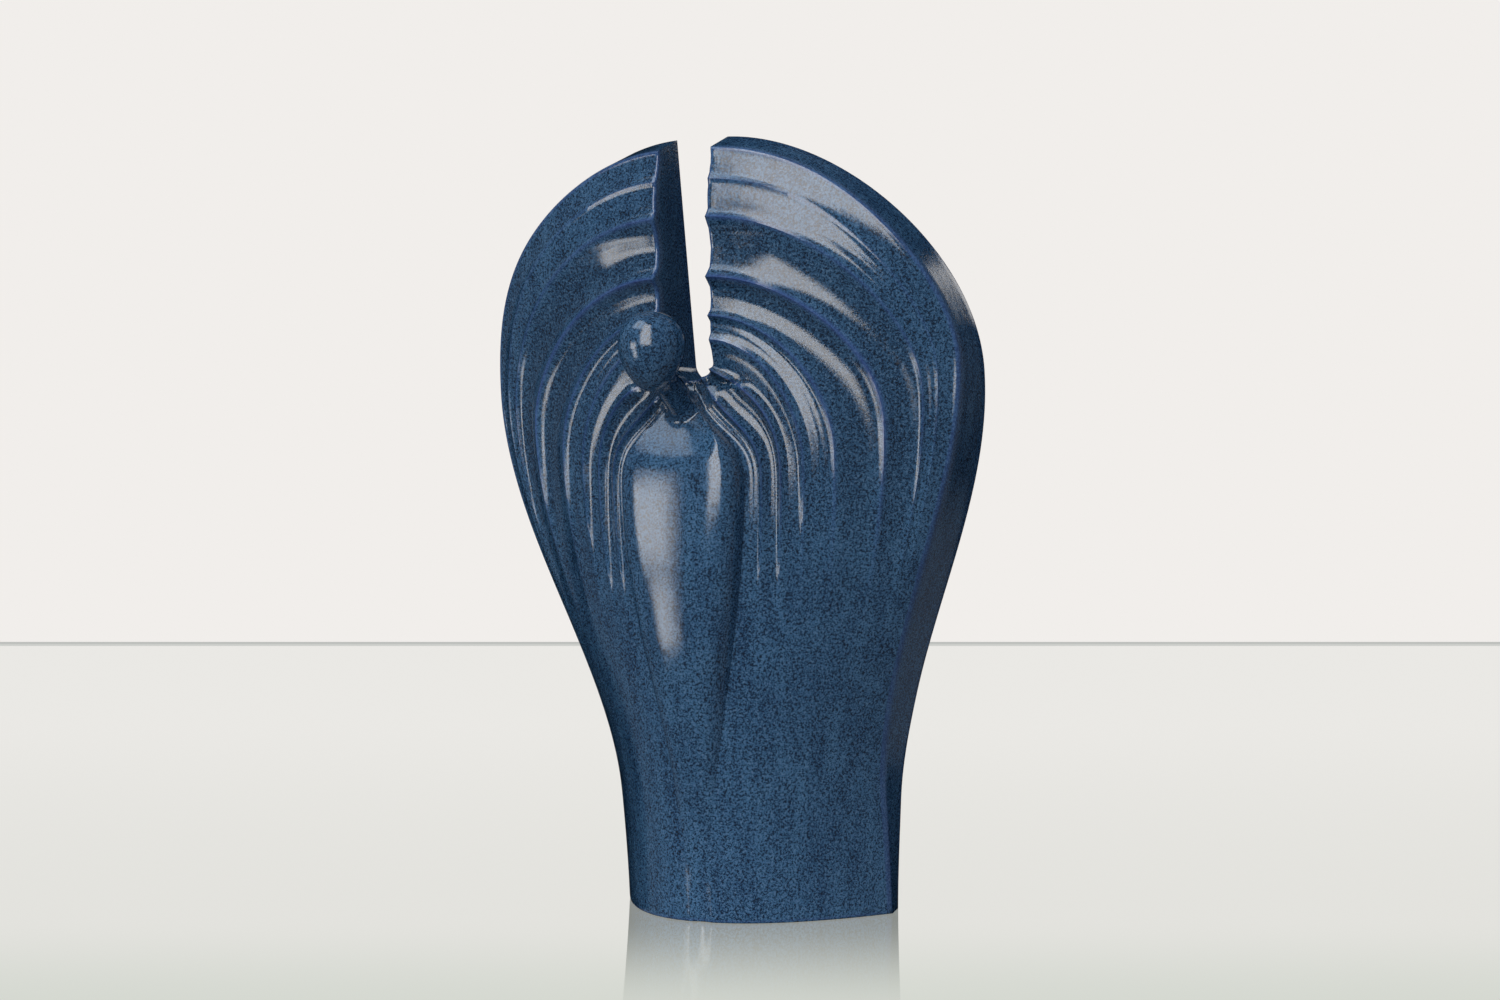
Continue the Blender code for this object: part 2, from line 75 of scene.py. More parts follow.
def flowing(places: Sequence[float], values: Sequence[float], wanted: np.ndarray) -> np.ndarray:
    """Read a smooth curve that passes through named values and never overshoots them.

    Each stretch is a cubic whose end slopes are the harmonic means of the slopes beside them,
    or level where the values turn.

    Args:
        places: where the values stand, rising.
        values: the values there.
        wanted: where to read the curve.

    Returns:
        The curve's values at the wanted places.
    """
    x = np.asarray(places, float)
    y = np.asarray(values, float)
    steps = np.diff(x)
    slopes = np.diff(y) / steps
    turning = slopes[:-1] * slopes[1:] <= 0.0
    total = np.where(turning, 1.0, slopes[:-1] + slopes[1:])
    inner = np.where(turning, 0.0, 2.0 * slopes[:-1] * slopes[1:] / total)
    tangents = np.concatenate([[slopes[0]], inner, [slopes[-1]]])
    held = np.clip(wanted, x[0], x[-1])
    cell = np.clip(np.searchsorted(x, held, side="right") - 1, 0, len(steps) - 1)
    width = steps[cell]
    u = (held - x[cell]) / width
    return (
        y[cell] * (1.0 + 2.0 * u) * (1.0 - u) ** 2
        + y[cell + 1] * u * u * (3.0 - 2.0 * u)
        + width * tangents[cell] * u * (1.0 - u) ** 2
        - width * tangents[cell + 1] * u * u * (1.0 - u)
    )


def cubic(p0: np.ndarray, p1: np.ndarray, p2: np.ndarray, p3: np.ndarray, u: np.ndarray) -> np.ndarray:
    """Bezier curve through four control values, at share u of its run."""
    v = 1.0 - u
    return v ** 3 * p0 + 3.0 * u * v * v * p1 + 3.0 * u * u * v * p2 + u ** 3 * p3


@dataclass(frozen=True)
class Line:
    """A line of the wing's form.

    start is a place on the slot's edge: 0 to 1 round the notch, then 1 to 2 up the side. widest and
    foot are shares of the wing's and the foot's half widths, and level is the height of the widest
    place as a share of the rim's. groove is the depth of the groove inside the line, as a share of
    the deepest, at the slot's edge, and onward is the same further along the line.
    """

    start: float
    widest: float
    foot: float
    level: float
    groove: float = 0.0
    onward: float = 0.0


FORM_LINES = (
    Line(0.00, 0.000, 0.00, 0.71),
    Line(0.13, 0.250, 0.08, 0.80),
    Line(0.37, 0.315, 0.30, 0.80, 0.20, 0.35),
    Line(0.73, 0.387, 0.42, 0.81, 0.47, 0.73),
    Line(1.10, 0.470, 0.54, 0.83, 0.48, 0.47),
    Line(1.21, 0.580, 0.64, 0.85, 0.37, 0.24),
    Line(1.39, 0.750, 0.77, 0.90, 0.69, 0.61),
    Line(1.67, 0.880, 0.87, 0.945, 1.00, 0.52),
    Line(1.85, 0.930, 0.93, 0.975, 0.16, 0.09),
    Line(2.00, 1.000, 1.00, 1.00, 0.20, 0.20),
)


@dataclass(frozen=True)
class UrnForm:
    """The urn's form as formulas, in metres, facing -Y, with the foot's front corners on Y = 0.

    Lines are numbered s, from 0 on the middle plane to the rim, and t is the share of the way along
    a line from the slot to the foot.
    """

    height: float = 0.4029
    wing_width: float = 0.2656
    foot_width: float = 0.1553
    widest_height: float = 0.2827
    foot_rim_height: float = 0.0596
    slot_width: float = 0.029
    notch_height: float = 0.277
    notch_round: float = 0.009
    foot_front: float = 0.0695
    belly_front: float = 0.0890
    notch_front: float = 0.0900
    brow_front: float = 0.0970
    top_front: float = 0.0880
    belly_height: float = 0.211
    brow_height: float = 0.345
    wrap_foot: float = 0.0693
    wrap_wing: float = 0.0427
    wrap_power: float = 2.15
    foot_back: float = 0.0107
    top_thick: float = 0.0218
    hollow_foot: float = 0.0147
    hollow_wing: float = 0.0264
    flare_top: float = 0.0095
    flare_widest: float = 0.0026
    flare_waist: float = 0.0026
    flare_foot: float = -0.0056
    waist_place: float = 0.78
    edge_round: float = 0.0022
    robe_height: float = 0.246
    robe_swell: float = 0.0155
    robe_levels: tuple[float, ...] = (0.0, 0.2, 0.44, 0.61, 0.75, 1.0, 1.04, 1.08, 1.126)
    robe_fullness: tuple[float, ...] = (-0.1, 0.1, 0.58, 0.92, 1.0, 0.88, 0.78, 0.52, 0.0)
    robe_soft: float = 1.1
    robe_square: float = 0.55
    robe_round: float = 2.0
    robe_flat: float = 5.5
    valley_depth: float = 0.0015
    throat_depth: float = 0.0045
    throat_reach: float = 0.021
    chest_low: float = 0.233
    chest_slope: float = 0.49
    chest_fold: float = 0.0009
    chest_reach: float = 0.036
    chest_reach_ease: float = 0.0096
    chest_under: float = 0.012
    chest_under_ease: float = 0.01
    chest_over: float = 0.001
    chest_over_ease: float = 0.004
    groove_depth: float = 0.0075
    groove_low: float = 0.135
    groove_high: float = 0.275
    crest_round: float = 0.35
    groove_lean: float = 0.13
    groove_settle: float = 0.12
    streak_depth: float = 0.0004
    streak_reach: float = 0.3
    streak_count: float = 3.0
    streak_from: float = 4.0
    streak_ease: float = 2.0
    cup_levels: tuple[float, ...] = (0.14, 0.25, 0.33, 0.40)
    cup_depths: tuple[float, ...] = (0.0, -0.002, 0.002, 0.002)
    cup_peak: float = 0.34
    arc_pull: float = 0.505
    wing_share: float = 0.46
    wall: float = 0.0055
    floor: float = 0.008
    lines: tuple[Line, ...] = FORM_LINES

    @property
    def rim(self) -> int:
        """Number of the outermost line."""
        return len(self.lines) - 1

    def line_value(self, key: str, s: np.ndarray) -> np.ndarray:
        """A named share of the lines, read smoothly at line number s."""
        return flowing(range(len(self.lines)), [getattr(line, key) for line in self.lines], s)

    def slot_edge(self, s: np.ndarray, inset: float) -> tuple[np.ndarray, ...]:
        """Where lines start.

        The edge is half an ellipse under the slot and then a straight side.

        Args:
            s: line numbers.
            inset: how far inside the clay the edge is taken.

        Returns:
            x and z of the start, and the unit vector from there into the clay.
        """
        start = self.line_value("start", s)
        angle = np.clip(start, 0.0, 1.0) * math.pi / 2.0
        climb = np.clip(start - 1.0, 0.0, 1.0)
        low = self.notch_height - inset
        high = self.height - self.flare_top - inset
        x = (self.slot_width / 2.0 + inset) * np.sin(angle)
        z = low + self.notch_round * (1.0 - np.cos(angle)) + climb * (high - low - self.notch_round)
        return x, z, np.sin(angle), -np.cos(angle)

    def wing_point(self, s: np.ndarray, t: np.ndarray, inset: float = 0.0, low: float = 0.0) -> Pair:
        """Place on a line, seen from the front.

        Above the widest place a line is a Bezier quarter that leaves the slot square to its edge.
        Below it, x eases from the widest to the foot by a smooth step of the height.

        Args:
            s: line numbers.
            t: shares of the way from the slot to the foot.
            inset: how far the form is drawn in all round.
            low: height at which the lines end.

        Returns:
            x and z of the points.
        """
        share = s / self.rim
        widest = self.line_value("widest", s) * self.wing_width / 2.0 - inset * share
        foot = self.line_value("foot", s) * self.foot_width / 2.0 - inset * share
        level = self.line_value("level", s) * self.widest_height
        x0, z0, nx, nz = self.slot_edge(s, inset)
        pull = self.arc_pull * ((widest - x0) * nx + (level - z0) * nz)
        u = np.clip(t / self.wing_share, 0.0, 1.0)
        x_wing = cubic(x0, x0 + nx * pull, widest, widest, u)
        z_wing = cubic(z0, z0 + nz * pull, level + self.arc_pull * (z0 - level), level, u)
        down = np.clip((t - self.wing_share) / (1.0 - self.wing_share), 0.0, 1.0)
        z_skirt = level + (low - level) * down
        straight = self.foot_rim_height * share
        x_skirt = foot + (widest - foot) * smooth_step((z_skirt - straight) / (level - straight))
        on_skirt = t > self.wing_share
        return np.where(on_skirt, x_skirt, x_wing), np.where(on_skirt, z_skirt, z_wing)

    def half_width(self, z: np.ndarray) -> np.ndarray:
        """Half width of the rim at height z, held at its widest above that."""
        rise = smooth_step((z - self.foot_rim_height) / (self.widest_height - self.foot_rim_height))
        return (self.foot_width + (self.wing_width - self.foot_width) * rise) / 2.0

    def front_depth(self, x: np.ndarray, z: np.ndarray) -> np.ndarray:
        """Y of the front without relief: a middle profile plus a wrap that grows as a power of x."""
        heights = [0.0, self.belly_height, self.notch_height, self.brow_height, self.height]
        fronts = [self.foot_front, self.belly_front, self.notch_front, self.brow_front, self.top_front]
        wrap = self.wrap_foot + (self.wrap_wing - self.wrap_foot) * smooth_step(z / self.widest_height)
        return wrap * (np.abs(x) / self.half_width(z)) ** self.wrap_power - flowing(heights, fronts, z)

    def back_depth(self, x: np.ndarray, z: np.ndarray) -> np.ndarray:
        """Y of the back: a plane that leans forward, hollowed by a square of x."""
        lean = (self.foot_back + self.top_front - self.top_thick) / self.height
        rise = smooth_step(z / self.widest_height)
        hollow = self.hollow_foot + (self.hollow_wing - self.hollow_foot) * rise
        return self.foot_back - lean * z + hollow * (np.abs(x) / self.half_width(z)) ** 2

    def groove_at(self, s: np.ndarray, t: np.ndarray) -> np.ndarray:
        """Depth of the feather grooves at line s, eased from the slot's edge to further along."""
        middles = [number + 0.5 for number in range(1, self.rim)]
        near = np.interp(s, middles, [line.groove for line in self.lines[2:]])
        onward = np.interp(s, middles, [line.onward for line in self.lines[2:]])
        return self.groove_depth * (near + (onward - near) * smooth_step(t / self.groove_settle))

    def groove_wave(self, s: np.ndarray) -> np.ndarray:
        """0 on a crest and 1 in a groove: a sine whose cusp is rounded off, leaning to one side."""
        deepest = math.sqrt(1.0 + self.crest_round ** 2) - self.crest_round
        leaning = s + self.groove_lean * np.sin(2.0 * math.pi * s)
        return (np.sqrt(np.sin(math.pi * leaning) ** 2 + self.crest_round ** 2) - self.crest_round) / deepest

    def groove_fade(self, z: np.ndarray) -> np.ndarray:
        """How much of the grooves' depth is left at height z."""
        return smooth_step((z - self.groove_low) / (self.groove_high - self.groove_low))

    def throat(self, x: np.ndarray, z: np.ndarray) -> np.ndarray:
        """Depth of the round hollow above the chest: 1 less the squared share of its reach, squared."""
        share = (x ** 2 + (z - self.notch_height) ** 2) / self.throat_reach ** 2
        return self.throat_depth * np.clip(1.0 - share, 0.0, 1.0) ** 2

    def cup(self, x: np.ndarray, z: np.ndarray) -> np.ndarray:
        """Depth to which a wing is dished between slot and rim: a power that peaks at a named place."""
        half_slot = self.slot_width / 2.0
        place = np.clip((np.abs(x) - half_slot) / (self.half_width(z) - half_slot), 0.0, 1.0)
        power = 2.0 * self.cup_peak / (1.0 - self.cup_peak)
        most = self.cup_peak ** power * (1.0 - self.cup_peak) ** 2
        depth = flowing(self.cup_levels, self.cup_depths, z)
        return depth * place ** power * (1.0 - place) ** 2 / most

    def cut_chest(self, y: np.ndarray, x: np.ndarray, z: np.ndarray) -> np.ndarray:
        """Push the front back to the flat chest, a plane that leans back above the robe's fold.

        The deeper of front and plane wins, eased near the fold by half the root of their squared
        difference plus the fold's squared width.

        Args:
            y: the front so far.
            x, z: where it is seen from the front.

        Returns:
            The front with the chest in it.
        """
        plane = self.chest_slope * (z - self.chest_low) - self.belly_front - self.robe_swell
        gap = plane - y
        deeper = y + (gap + np.sqrt(gap ** 2 + self.chest_fold ** 2)) / 2.0
        share = smooth_step((self.chest_reach - np.abs(x)) / self.chest_reach_ease)
        share = share * smooth_step((z - self.chest_low + self.chest_under) / self.chest_under_ease)
        share = share * smooth_step((self.notch_height + self.chest_over - z) / self.chest_over_ease)
        return y + (deeper - y) * share

    def relief(self, s: np.ndarray, t: np.ndarray, z: np.ndarray) -> np.ndarray:
        """Depth of the grooves, their streaks and the valley beside the robe, less the robe's swell.

        The swell is 1 less a power of the line number, raised to a second power. Both powers ease
        with height, from a round robe at the foot to a square one at the chest.
        """
        fade = self.groove_fade(z)
        grooves = np.where(s > 1.0, self.groove_at(s, t) * fade * self.groove_wave(s), 0.0)
        streaks = np.sin(self.streak_count * math.pi * s) ** 2
        streaks = streaks * smooth_step((s - self.streak_from) / self.streak_ease)
        grooves = grooves + self.streak_depth * streaks * (1.0 - smooth_step(t / self.streak_reach))
        valley = self.valley_depth * fade * np.clip(1.0 - np.abs(s - 1.0), 0.0, 1.0) ** 2
        heights = [self.robe_height * level for level in self.robe_levels]
        swell = self.robe_swell * flowing(heights, self.robe_fullness, z)
        rise = smooth_step(z / self.robe_height)
        power = self.robe_round + (self.robe_flat - self.robe_round) * rise
        fullness = self.robe_soft + (self.robe_square - self.robe_soft) * rise
        return grooves + valley - swell * (1.0 - np.clip(s, 0.0, 1.0) ** power) ** fullness

    def rim_outward(self, t: np.ndarray, inset: float, low: float) -> Pair:
        """Unit vector (x, z) out of the rim at place t, square to the rim's run there."""
        step = 0.004
        x1, z1 = self.wing_point(self.rim, np.clip(t - step, 0.0, 1.0), inset, low)
        x2, z2 = self.wing_point(self.rim, np.clip(t + step, 0.0, 1.0), inset, low)
        length = np.hypot(x2 - x1, z2 - z1)
        return (z1 - z2) / length, (x2 - x1) / length

    def back_place(
        self, front: Pair, s: np.ndarray, t: np.ndarray, inset: float = 0.0, low: float = 0.0
    ) -> Pair:
        """The place on the back that lies behind x and z of the front: moved out by the rim's flare."""
        out_x, out_z = self.rim_outward(t, inset, low)
        places = [0.0, self.wing_share, self.waist_place, 1.0]
        flares = [self.flare_top, self.flare_widest, self.flare_waist, self.flare_foot]
        flare = flowing(places, flares, t) * (s / self.rim) ** 2
        settle = np.clip((1.0 - t) / (1.0 - self.wing_share), 0.0, 1.0)
        return front[0] + out_x * flare, front[1] + out_z * flare * settle

    @staticmethod
    def slope_factor(depth: Callable, x: np.ndarray, z: np.ndarray) -> np.ndarray:
        """Length of a wall along Y for each metre of it square to the sheet depth(x, z)."""
        step = 0.001
        across = (depth(x + step, z) - depth(x - step, z)) / (2.0 * step)
        upward = (depth(x, z + step) - depth(x, z - step)) / (2.0 * step)
        return np.sqrt(1.0 + across ** 2 + upward ** 2)


@dataclass(frozen=True)
class Fineness:
    """How finely the surfaces are cut, and how rows and columns crowd at the edges."""

    robe_columns: int = 20
    feather_columns: int = 10
    wing_rows: int = 76
    skirt_rows: int = 56
    arc_steps: int = 4
    band_steps: int = 6
    hollow_rows: int = 13
    neck_rings: int = 26
    neck_sides: int = 64
    head_rings: int = 45
    head_sides: int = 72
    hole_sides: int = 96
    row_power: float = 1.25
    first_row: float = 0.006
    last_row: float = 0.995
    last_feather: float = 0.28
    last_column: float = 0.2


@dataclass(frozen=True)
class GlazeThickness:
    """Where the glaze is thin and where it pools. Bands and starts are in line numbers."""

    crest_band: float = 0.10
    crest_from: float = 1.5
    crest_least: float = 0.25
    depth_gain: float = 1.6
    robe_band: float = 0.25
    robe_from: float = 0.7
    thin_edge: float = 0.6
    thin_corner: float = 0.4
    thin_wall: float = 0.1


class Mesher:
    """Puts arrays of points and faces into Blender meshes."""

    @staticmethod
    def grid_quads(numbers: np.ndarray) -> np.ndarray:
        """Quads of a grid of point numbers: each square of four neighbours, row by row."""
        return np.stack(
            [numbers[:-1, :-1], numbers[:-1, 1:], numbers[1:, 1:], numbers[1:, :-1]], -1
        ).reshape(-1, 4)

    @staticmethod
    def mesh(
        name: str, points: np.ndarray, faces: list, attributes: dict | None = None, index: int = 0
    ) -> bpy.types.Mesh:
        """Make a closed mesh with joined points and faces that look outwards.

        Args:
            name: the mesh's name.
            points: array of x, y and z.
            faces: lists of point numbers.
            attributes: arrays of one value a point, by name.
            index: material slot of every face.

        Returns:
            The new mesh.
        """
        mesh = bpy.data.meshes.new(name)
        mesh.from_pydata(points.tolist(), [], faces)
        for key, values in (attributes or {}).items():
            layer = mesh.attributes.new(key, "FLOAT", "POINT")
            layer.data.foreach_set("value", np.asarray(values, np.float32))
        mesh.polygons.foreach_set("material_index", np.full(len(mesh.polygons), index, np.int32))
        shape = bmesh.new()
        shape.from_mesh(mesh)
        bmesh.ops.remove_doubles(shape, verts=shape.verts, dist=0.00001)
        bmesh.ops.dissolve_degenerate(shape, edges=shape.edges, dist=0.00001)
        bmesh.ops.recalc_face_normals(shape, faces=shape.faces)
        shape.to_mesh(mesh)
        shape.free()
        return mesh

    @staticmethod
    def read(items: Sequence, key: str, width: int = 1, kind: type = float) -> np.ndarray:
        """A value of every item in a mesh as an array, with a row for each item where it has parts."""
        values = np.zeros(len(items) * width, kind)
        items.foreach_get(key, values)
        return values.reshape(-1, width) if width > 1 else values

    @staticmethod
    def tube_quads(rings: int, sides: int) -> list:
        """Quads of a tube of rings, its last side joined to its first."""
        numbers = np.arange(rings * sides).reshape(rings, sides)
        return Mesher.grid_quads(np.concatenate([numbers, numbers[:, :1]], 1)).tolist()

    @staticmethod
    def turned(name: str, profile: list[tuple[float, float]], sides: int, index: int = 0) -> bpy.types.Mesh:
        """A mesh turned about Z: each (radius, height) of the profile becomes a circle."""
        angles = np.arange(sides) * 2.0 * math.pi / sides
        radius, height = np.array(profile)[:, :1], np.array(profile)[:, 1:]
        x, y = radius * np.cos(angles), radius * np.sin(angles)
        points = np.stack([x, y, np.broadcast_to(height, x.shape)], -1).reshape(-1, 3)
        return Mesher.mesh(name, points, Mesher.tube_quads(len(profile), sides), None, index)

    @staticmethod
    def moved(mesh: bpy.types.Mesh, x: float, y: float, z: float) -> bpy.types.Mesh:
        """The same mesh, moved."""
        mesh.transform(Matrix.Translation((x, y, z)))
        return mesh

    @staticmethod
    def border(grid: np.ndarray) -> np.ndarray:
        """Values of a sheet along the slot, then down the rim, then along the foot to the middle."""
        return np.concatenate([grid[:, 0], grid[-1, 1:], grid[:-1, -1][::-1]])

    @staticmethod
    def closed(front: np.ndarray, back: np.ndarray, rings: Sequence = ()) -> tuple[np.ndarray, list]:
        """Close one half between its front and its back, and join its mirror image to it.

        Args:
            front, back: points of the two sheets, by column, row and xyz.
            rings: rings of points across the edge, from the front to the back.

        Returns:
            The points of both halves, and their quads.
        """
        count = front.shape[0] * front.shape[1]
        numbers = np.arange(count).reshape(front.shape[:2])
        edge = Mesher.border(numbers)
        between = [2 * count + ring * len(edge) + np.arange(len(edge)) for ring in range(len(rings))]
        chain = np.array([edge, *between, edge + count])
        sheets = [Mesher.grid_quads(numbers), Mesher.grid_quads(numbers + count)[:, ::-1]]
        quads = np.concatenate([*sheets, Mesher.grid_quads(chain)])
        half = np.concatenate([front.reshape(-1, 3), back.reshape(-1, 3), *rings])
        both = np.concatenate([quads, quads[:, ::-1] + len(half)])
        return np.concatenate([half, half * MIRROR]), both.tolist()

    @staticmethod
    def thing(name: str, mesh: bpy.types.Mesh) -> bpy.types.Object:
        """A new object for a mesh, in the scene."""
        item = bpy.data.objects.new(name, mesh)
        bpy.context.scene.collection.objects.link(item)
        return item

    @staticmethod
    def combine(target: bpy.types.Object, tools: list[bpy.types.Object], operation: str) -> None:
        """Join tools to the target or cut them away, and take the tools out of the scene."""
        for tool in tools:
            modifier = target.modifiers.new(tool.name, "BOOLEAN")
            modifier.operation = operation
            modifier.solver = "MANIFOLD"
            modifier.object = tool
        depsgraph = bpy.context.evaluated_depsgraph_get()
        result = bpy.data.meshes.new_from_object(target.evaluated_get(depsgraph))
        target.modifiers.clear()
        target.data = result
        for tool in tools:
            bpy.data.objects.remove(tool, do_unlink=True)

    @staticmethod
    def soften_seams(mesh: bpy.types.Mesh, reach: int, rounds: int, strength: float) -> None:
        """Round the seams between faces of unlike material slots.

        A point on a seam has weight 1, and the weight falls by a share with each edge away from it.
        Then each point moves towards the mean of its neighbours by its weight, many times over.

        Args:
            mesh: the mesh to change.
            reach: how many edges from the seam still move.
            rounds: how many times the points move.
            strength: the largest share of the way to the mean.
        """
        points = Mesher.read(mesh.vertices, "co", 3)
        count = len(points)
        first, second = Mesher.read(mesh.edges, "vertices", 2, np.int32).T
        slots = Mesher.read(mesh.polygons, "material_index", kind=np.int32)
        totals = Mesher.read(mesh.polygons, "loop_total", kind=np.int32)
        corners = Mesher.read(mesh.loops, "vertex_index", kind=np.int32)
        corner_slots = np.repeat(slots, totals)
        highest, lowest = np.full(count, slots.min()), np.full(count, slots.max())
        np.maximum.at(highest, corners, corner_slots)
        np.minimum.at(lowest, corners, corner_slots)
        weight = (highest > lowest).astype(float)
        for _ in range(reach):
            spread = weight.copy()
            np.maximum.at(spread, first, weight[second] - 1.0 / reach)
            np.maximum.at(spread, second, weight[first] - 1.0 / reach)
            weight = spread
        weight = np.clip(weight, 0.0, 1.0)[:, None] * strength
        neighbours = np.maximum(np.bincount(first, None, count) + np.bincount(second, None, count), 1)
        for _ in range(rounds):
            sums = [
                np.bincount(first, place[second], count) + np.bincount(second, place[first], count)
                for place in points.T
            ]
            points = points + weight * (np.stack(sums, -1) / neighbours[:, None] - points)
        mesh.vertices.foreach_set("co", points.ravel())
        mesh.update()


class LightUse(Enum):
    """What a lamp lights: the shading of a surface, or only what a glossy one mirrors."""

    SHADING = "shading"
    MIRRORED = "mirrored"


class Slot(Enum):
    """Material slots of the urn's mesh."""

    GLAZE = 0
    CLAY = 1
    HOLLOW = 2


@dataclass
class UrnBody:
    """The hollow casting: wings, robe, neck and head, foot and filling hole."""

    form: UrnForm
    fineness: Fineness = field(default_factory=Fineness)
    thickness: GlazeThickness = field(default_factory=GlazeThickness)
    head_width: float = 0.0326
    head_depth: float = 0.0340
    head_tall: float = 0.0394
    head_taper: float = 0.20
    head_forward: float = 0.124
    head_middle: float = 0.2888
    neck_top_width: float = 0.014
    neck_foot_width: float = 0.016
    neck_foot_forward: float = 0.087
    neck_foot_height: float = 0.2615
    neck_top_drop: float = 0.0078
    neck_arch: float = 0.0015
    hole_diameter: float = 0.042
    hole_forward: float = 0.030
    recess_diameter: float = 0.052
    recess_depth: float = 0.0035

    def sheets(self) -> tuple[np.ndarray, np.ndarray, np.ndarray, np.ndarray]:
        """Front and back of one half, with their outermost rows and column on the sharp edges.

        Returns:
            Front points and back points by column, row and xyz, then the line number and the place
            of each.
        """
        form, fine = self.form, self.fineness
        first, share = fine.first_row, form.wing_share
        robe = np.linspace(0.0, 1.0, fine.robe_columns + 1)[:-1]
        feathers = np.linspace(1.0, form.rim - 1.0, (form.rim - 2) * fine.feather_columns + 1)
        last = np.linspace(form.rim - 1.0, form.rim - fine.last_feather, fine.feather_columns - 2)[1:]
        columns = np.concatenate([robe, feathers, last, [form.rim - fine.last_column, form.rim]])
        wing = np.linspace(0.0, 1.0, fine.wing_rows + 1)[1:] ** fine.row_power * (share - first) + first
        skirt = np.linspace(share, 1.0, fine.skirt_rows + 1)[1:-1]
        rows = np.concatenate([[0.0, first], wing, skirt, [fine.last_row, 1.0]])
        s, t = np.meshgrid(columns, rows, indexing="ij")
        x, z = form.wing_point(s, t)
        x0, z0, nx, nz = form.slot_edge(columns, 0.0)
        x[:, 1] = x0 + nx * form.edge_round
        z[:, 1] = z0 + nz * form.edge_round
        z[:, -2] = form.edge_round
        out_x, out_z = form.rim_outward(rows, 0.0, 0.0)
        x[-2] = x[-1] - out_x * form.edge_round
        z[-2, 1:-2] = z[-1, 1:-2] - out_z[1:-2] * form.edge_round
        carved = form.relief(s, t, z) + form.throat(x, z) + form.cup(x, z)
        front = np.stack([x, form.cut_chest(form.front_depth(x, z) + carved, x, z), z], -1)
        back_x, back_z = form.back_place((x, z), s, t)
        back_z[:, -2] = form.edge_round
        back = np.stack([back_x, form.back_depth(back_x, back_z), back_z], -1)
        return front, back, s, t

    @staticmethod
    def sharp_border(grid: np.ndarray) -> np.ndarray:
        """The sharp edge points that go with the border of the sheet inside them."""
        slot, rim, foot = grid[:-2, 0], grid[-1, 2:-2], grid[:-2, -1][::-1]
        return np.concatenate([slot, grid[-1:, 0], rim, grid[-1:, -1], foot])

    def rounded_band(
        self, front: np.ndarray, back: np.ndarray, sharp_front: np.ndarray, sharp_back: np.ndarray
    ) -> list[np.ndarray]:
        """Rings of points across the edge of the casting.

        Each corner is a quadratic Bezier from the sheet to the wall with the sharp edge as its
        control point, and the wall between the corners is straight.

        Args:
            front, back: the borders of the two sheets.
            sharp_front, sharp_back: the sharp edges outside them.

        Returns:
            The rings, from the front to the back.
        """
        radius = self.form.edge_round
        across = sharp_back - sharp_front
        unit = across / np.linalg.norm(across, axis=-1, keepdims=True)
        near, far = sharp_front + unit * radius, sharp_back - unit * radius
        shares = np.linspace(0.0, 1.0, self.fineness.arc_steps + 1)[1:-1]
        first = [(1 - u) ** 2 * front + 2 * u * (1 - u) * sharp_front + u * u * near for u in shares]
        last = [(1 - u) ** 2 * far + 2 * u * (1 - u) * sharp_back + u * u * back for u in shares]
        walls = np.linspace(0.0, 1.0, self.fineness.band_steps + 1)
        return first + [near + (far - near) * share for share in walls] + last

    def outside(self) -> bpy.types.Mesh:
        """The outside of the casting without its head, one half and its mirror image joined.

        Returns:
            A mesh with the attributes "thin", where the glaze breaks over an edge or a crest, and
            "pool", where it gathers in a groove.
        """
        form, glaze = self.form, self.thickness
        front, back, s, t = self.sheets()
        inner = (slice(None, -1), slice(1, -1))
        front_in, back_in, s_in = front[inner], back[inner], s[inner]
        borders = Mesher.border(front_in), Mesher.border(back_in)
        rings = self.rounded_band(*borders, self.sharp_border(front), self.sharp_border(back))
        points, quads = Mesher.closed(front_in, back_in, rings)
        fade = form.groove_fade(front_in[..., 2])
        depth = np.clip(form.groove_at(s_in, t[inner]) / form.groove_depth * glaze.depth_gain, 0.0, 1.0)
        beside_robe = 1.0 - np.clip(np.abs(s_in - 1.0) / glaze.robe_band, 0.0, 1.0)
        wave = np.where(s_in > 1.0, form.groove_wave(s_in), beside_robe)
        crest = np.clip(1.0 - np.abs(s_in - np.round(s_in)) / glaze.crest_band, 0.0, 1.0)
        thin = crest * (s_in > glaze.crest_from) * fade
        thin = thin * (glaze.crest_least + (1.0 - glaze.crest_least) * depth)
        pool = wave * fade * np.where(s_in > 1.0, depth, 1.0)
        pool = pool * np.clip((s_in - glaze.robe_from) / (1.0 - glaze.robe_from), 0.0, 1.0)
        steps = self.fineness.band_steps
        edge = [glaze.thin_edge] * ((len(rings) - steps - 1) // 2)
        wall = [glaze.thin_corner] + [glaze.thin_wall] * (steps - 1) + [glaze.thin_corner]
        ring_thin = np.repeat(edge + wall + edge, len(rings[0]))
        ring_thin = ring_thin * (np.concatenate(rings)[:, 2] > form.edge_round * 0.5)
        half_thin = np.concatenate([thin.ravel(), np.zeros(thin.size), ring_thin])
        half_pool = np.concatenate([pool.ravel(), np.zeros(pool.size + len(ring_thin))])
        attributes = {"thin": np.tile(half_thin, 2), "pool": np.tile(half_pool, 2)}
        return Mesher.mesh("urn_shell", points, quads, attributes)

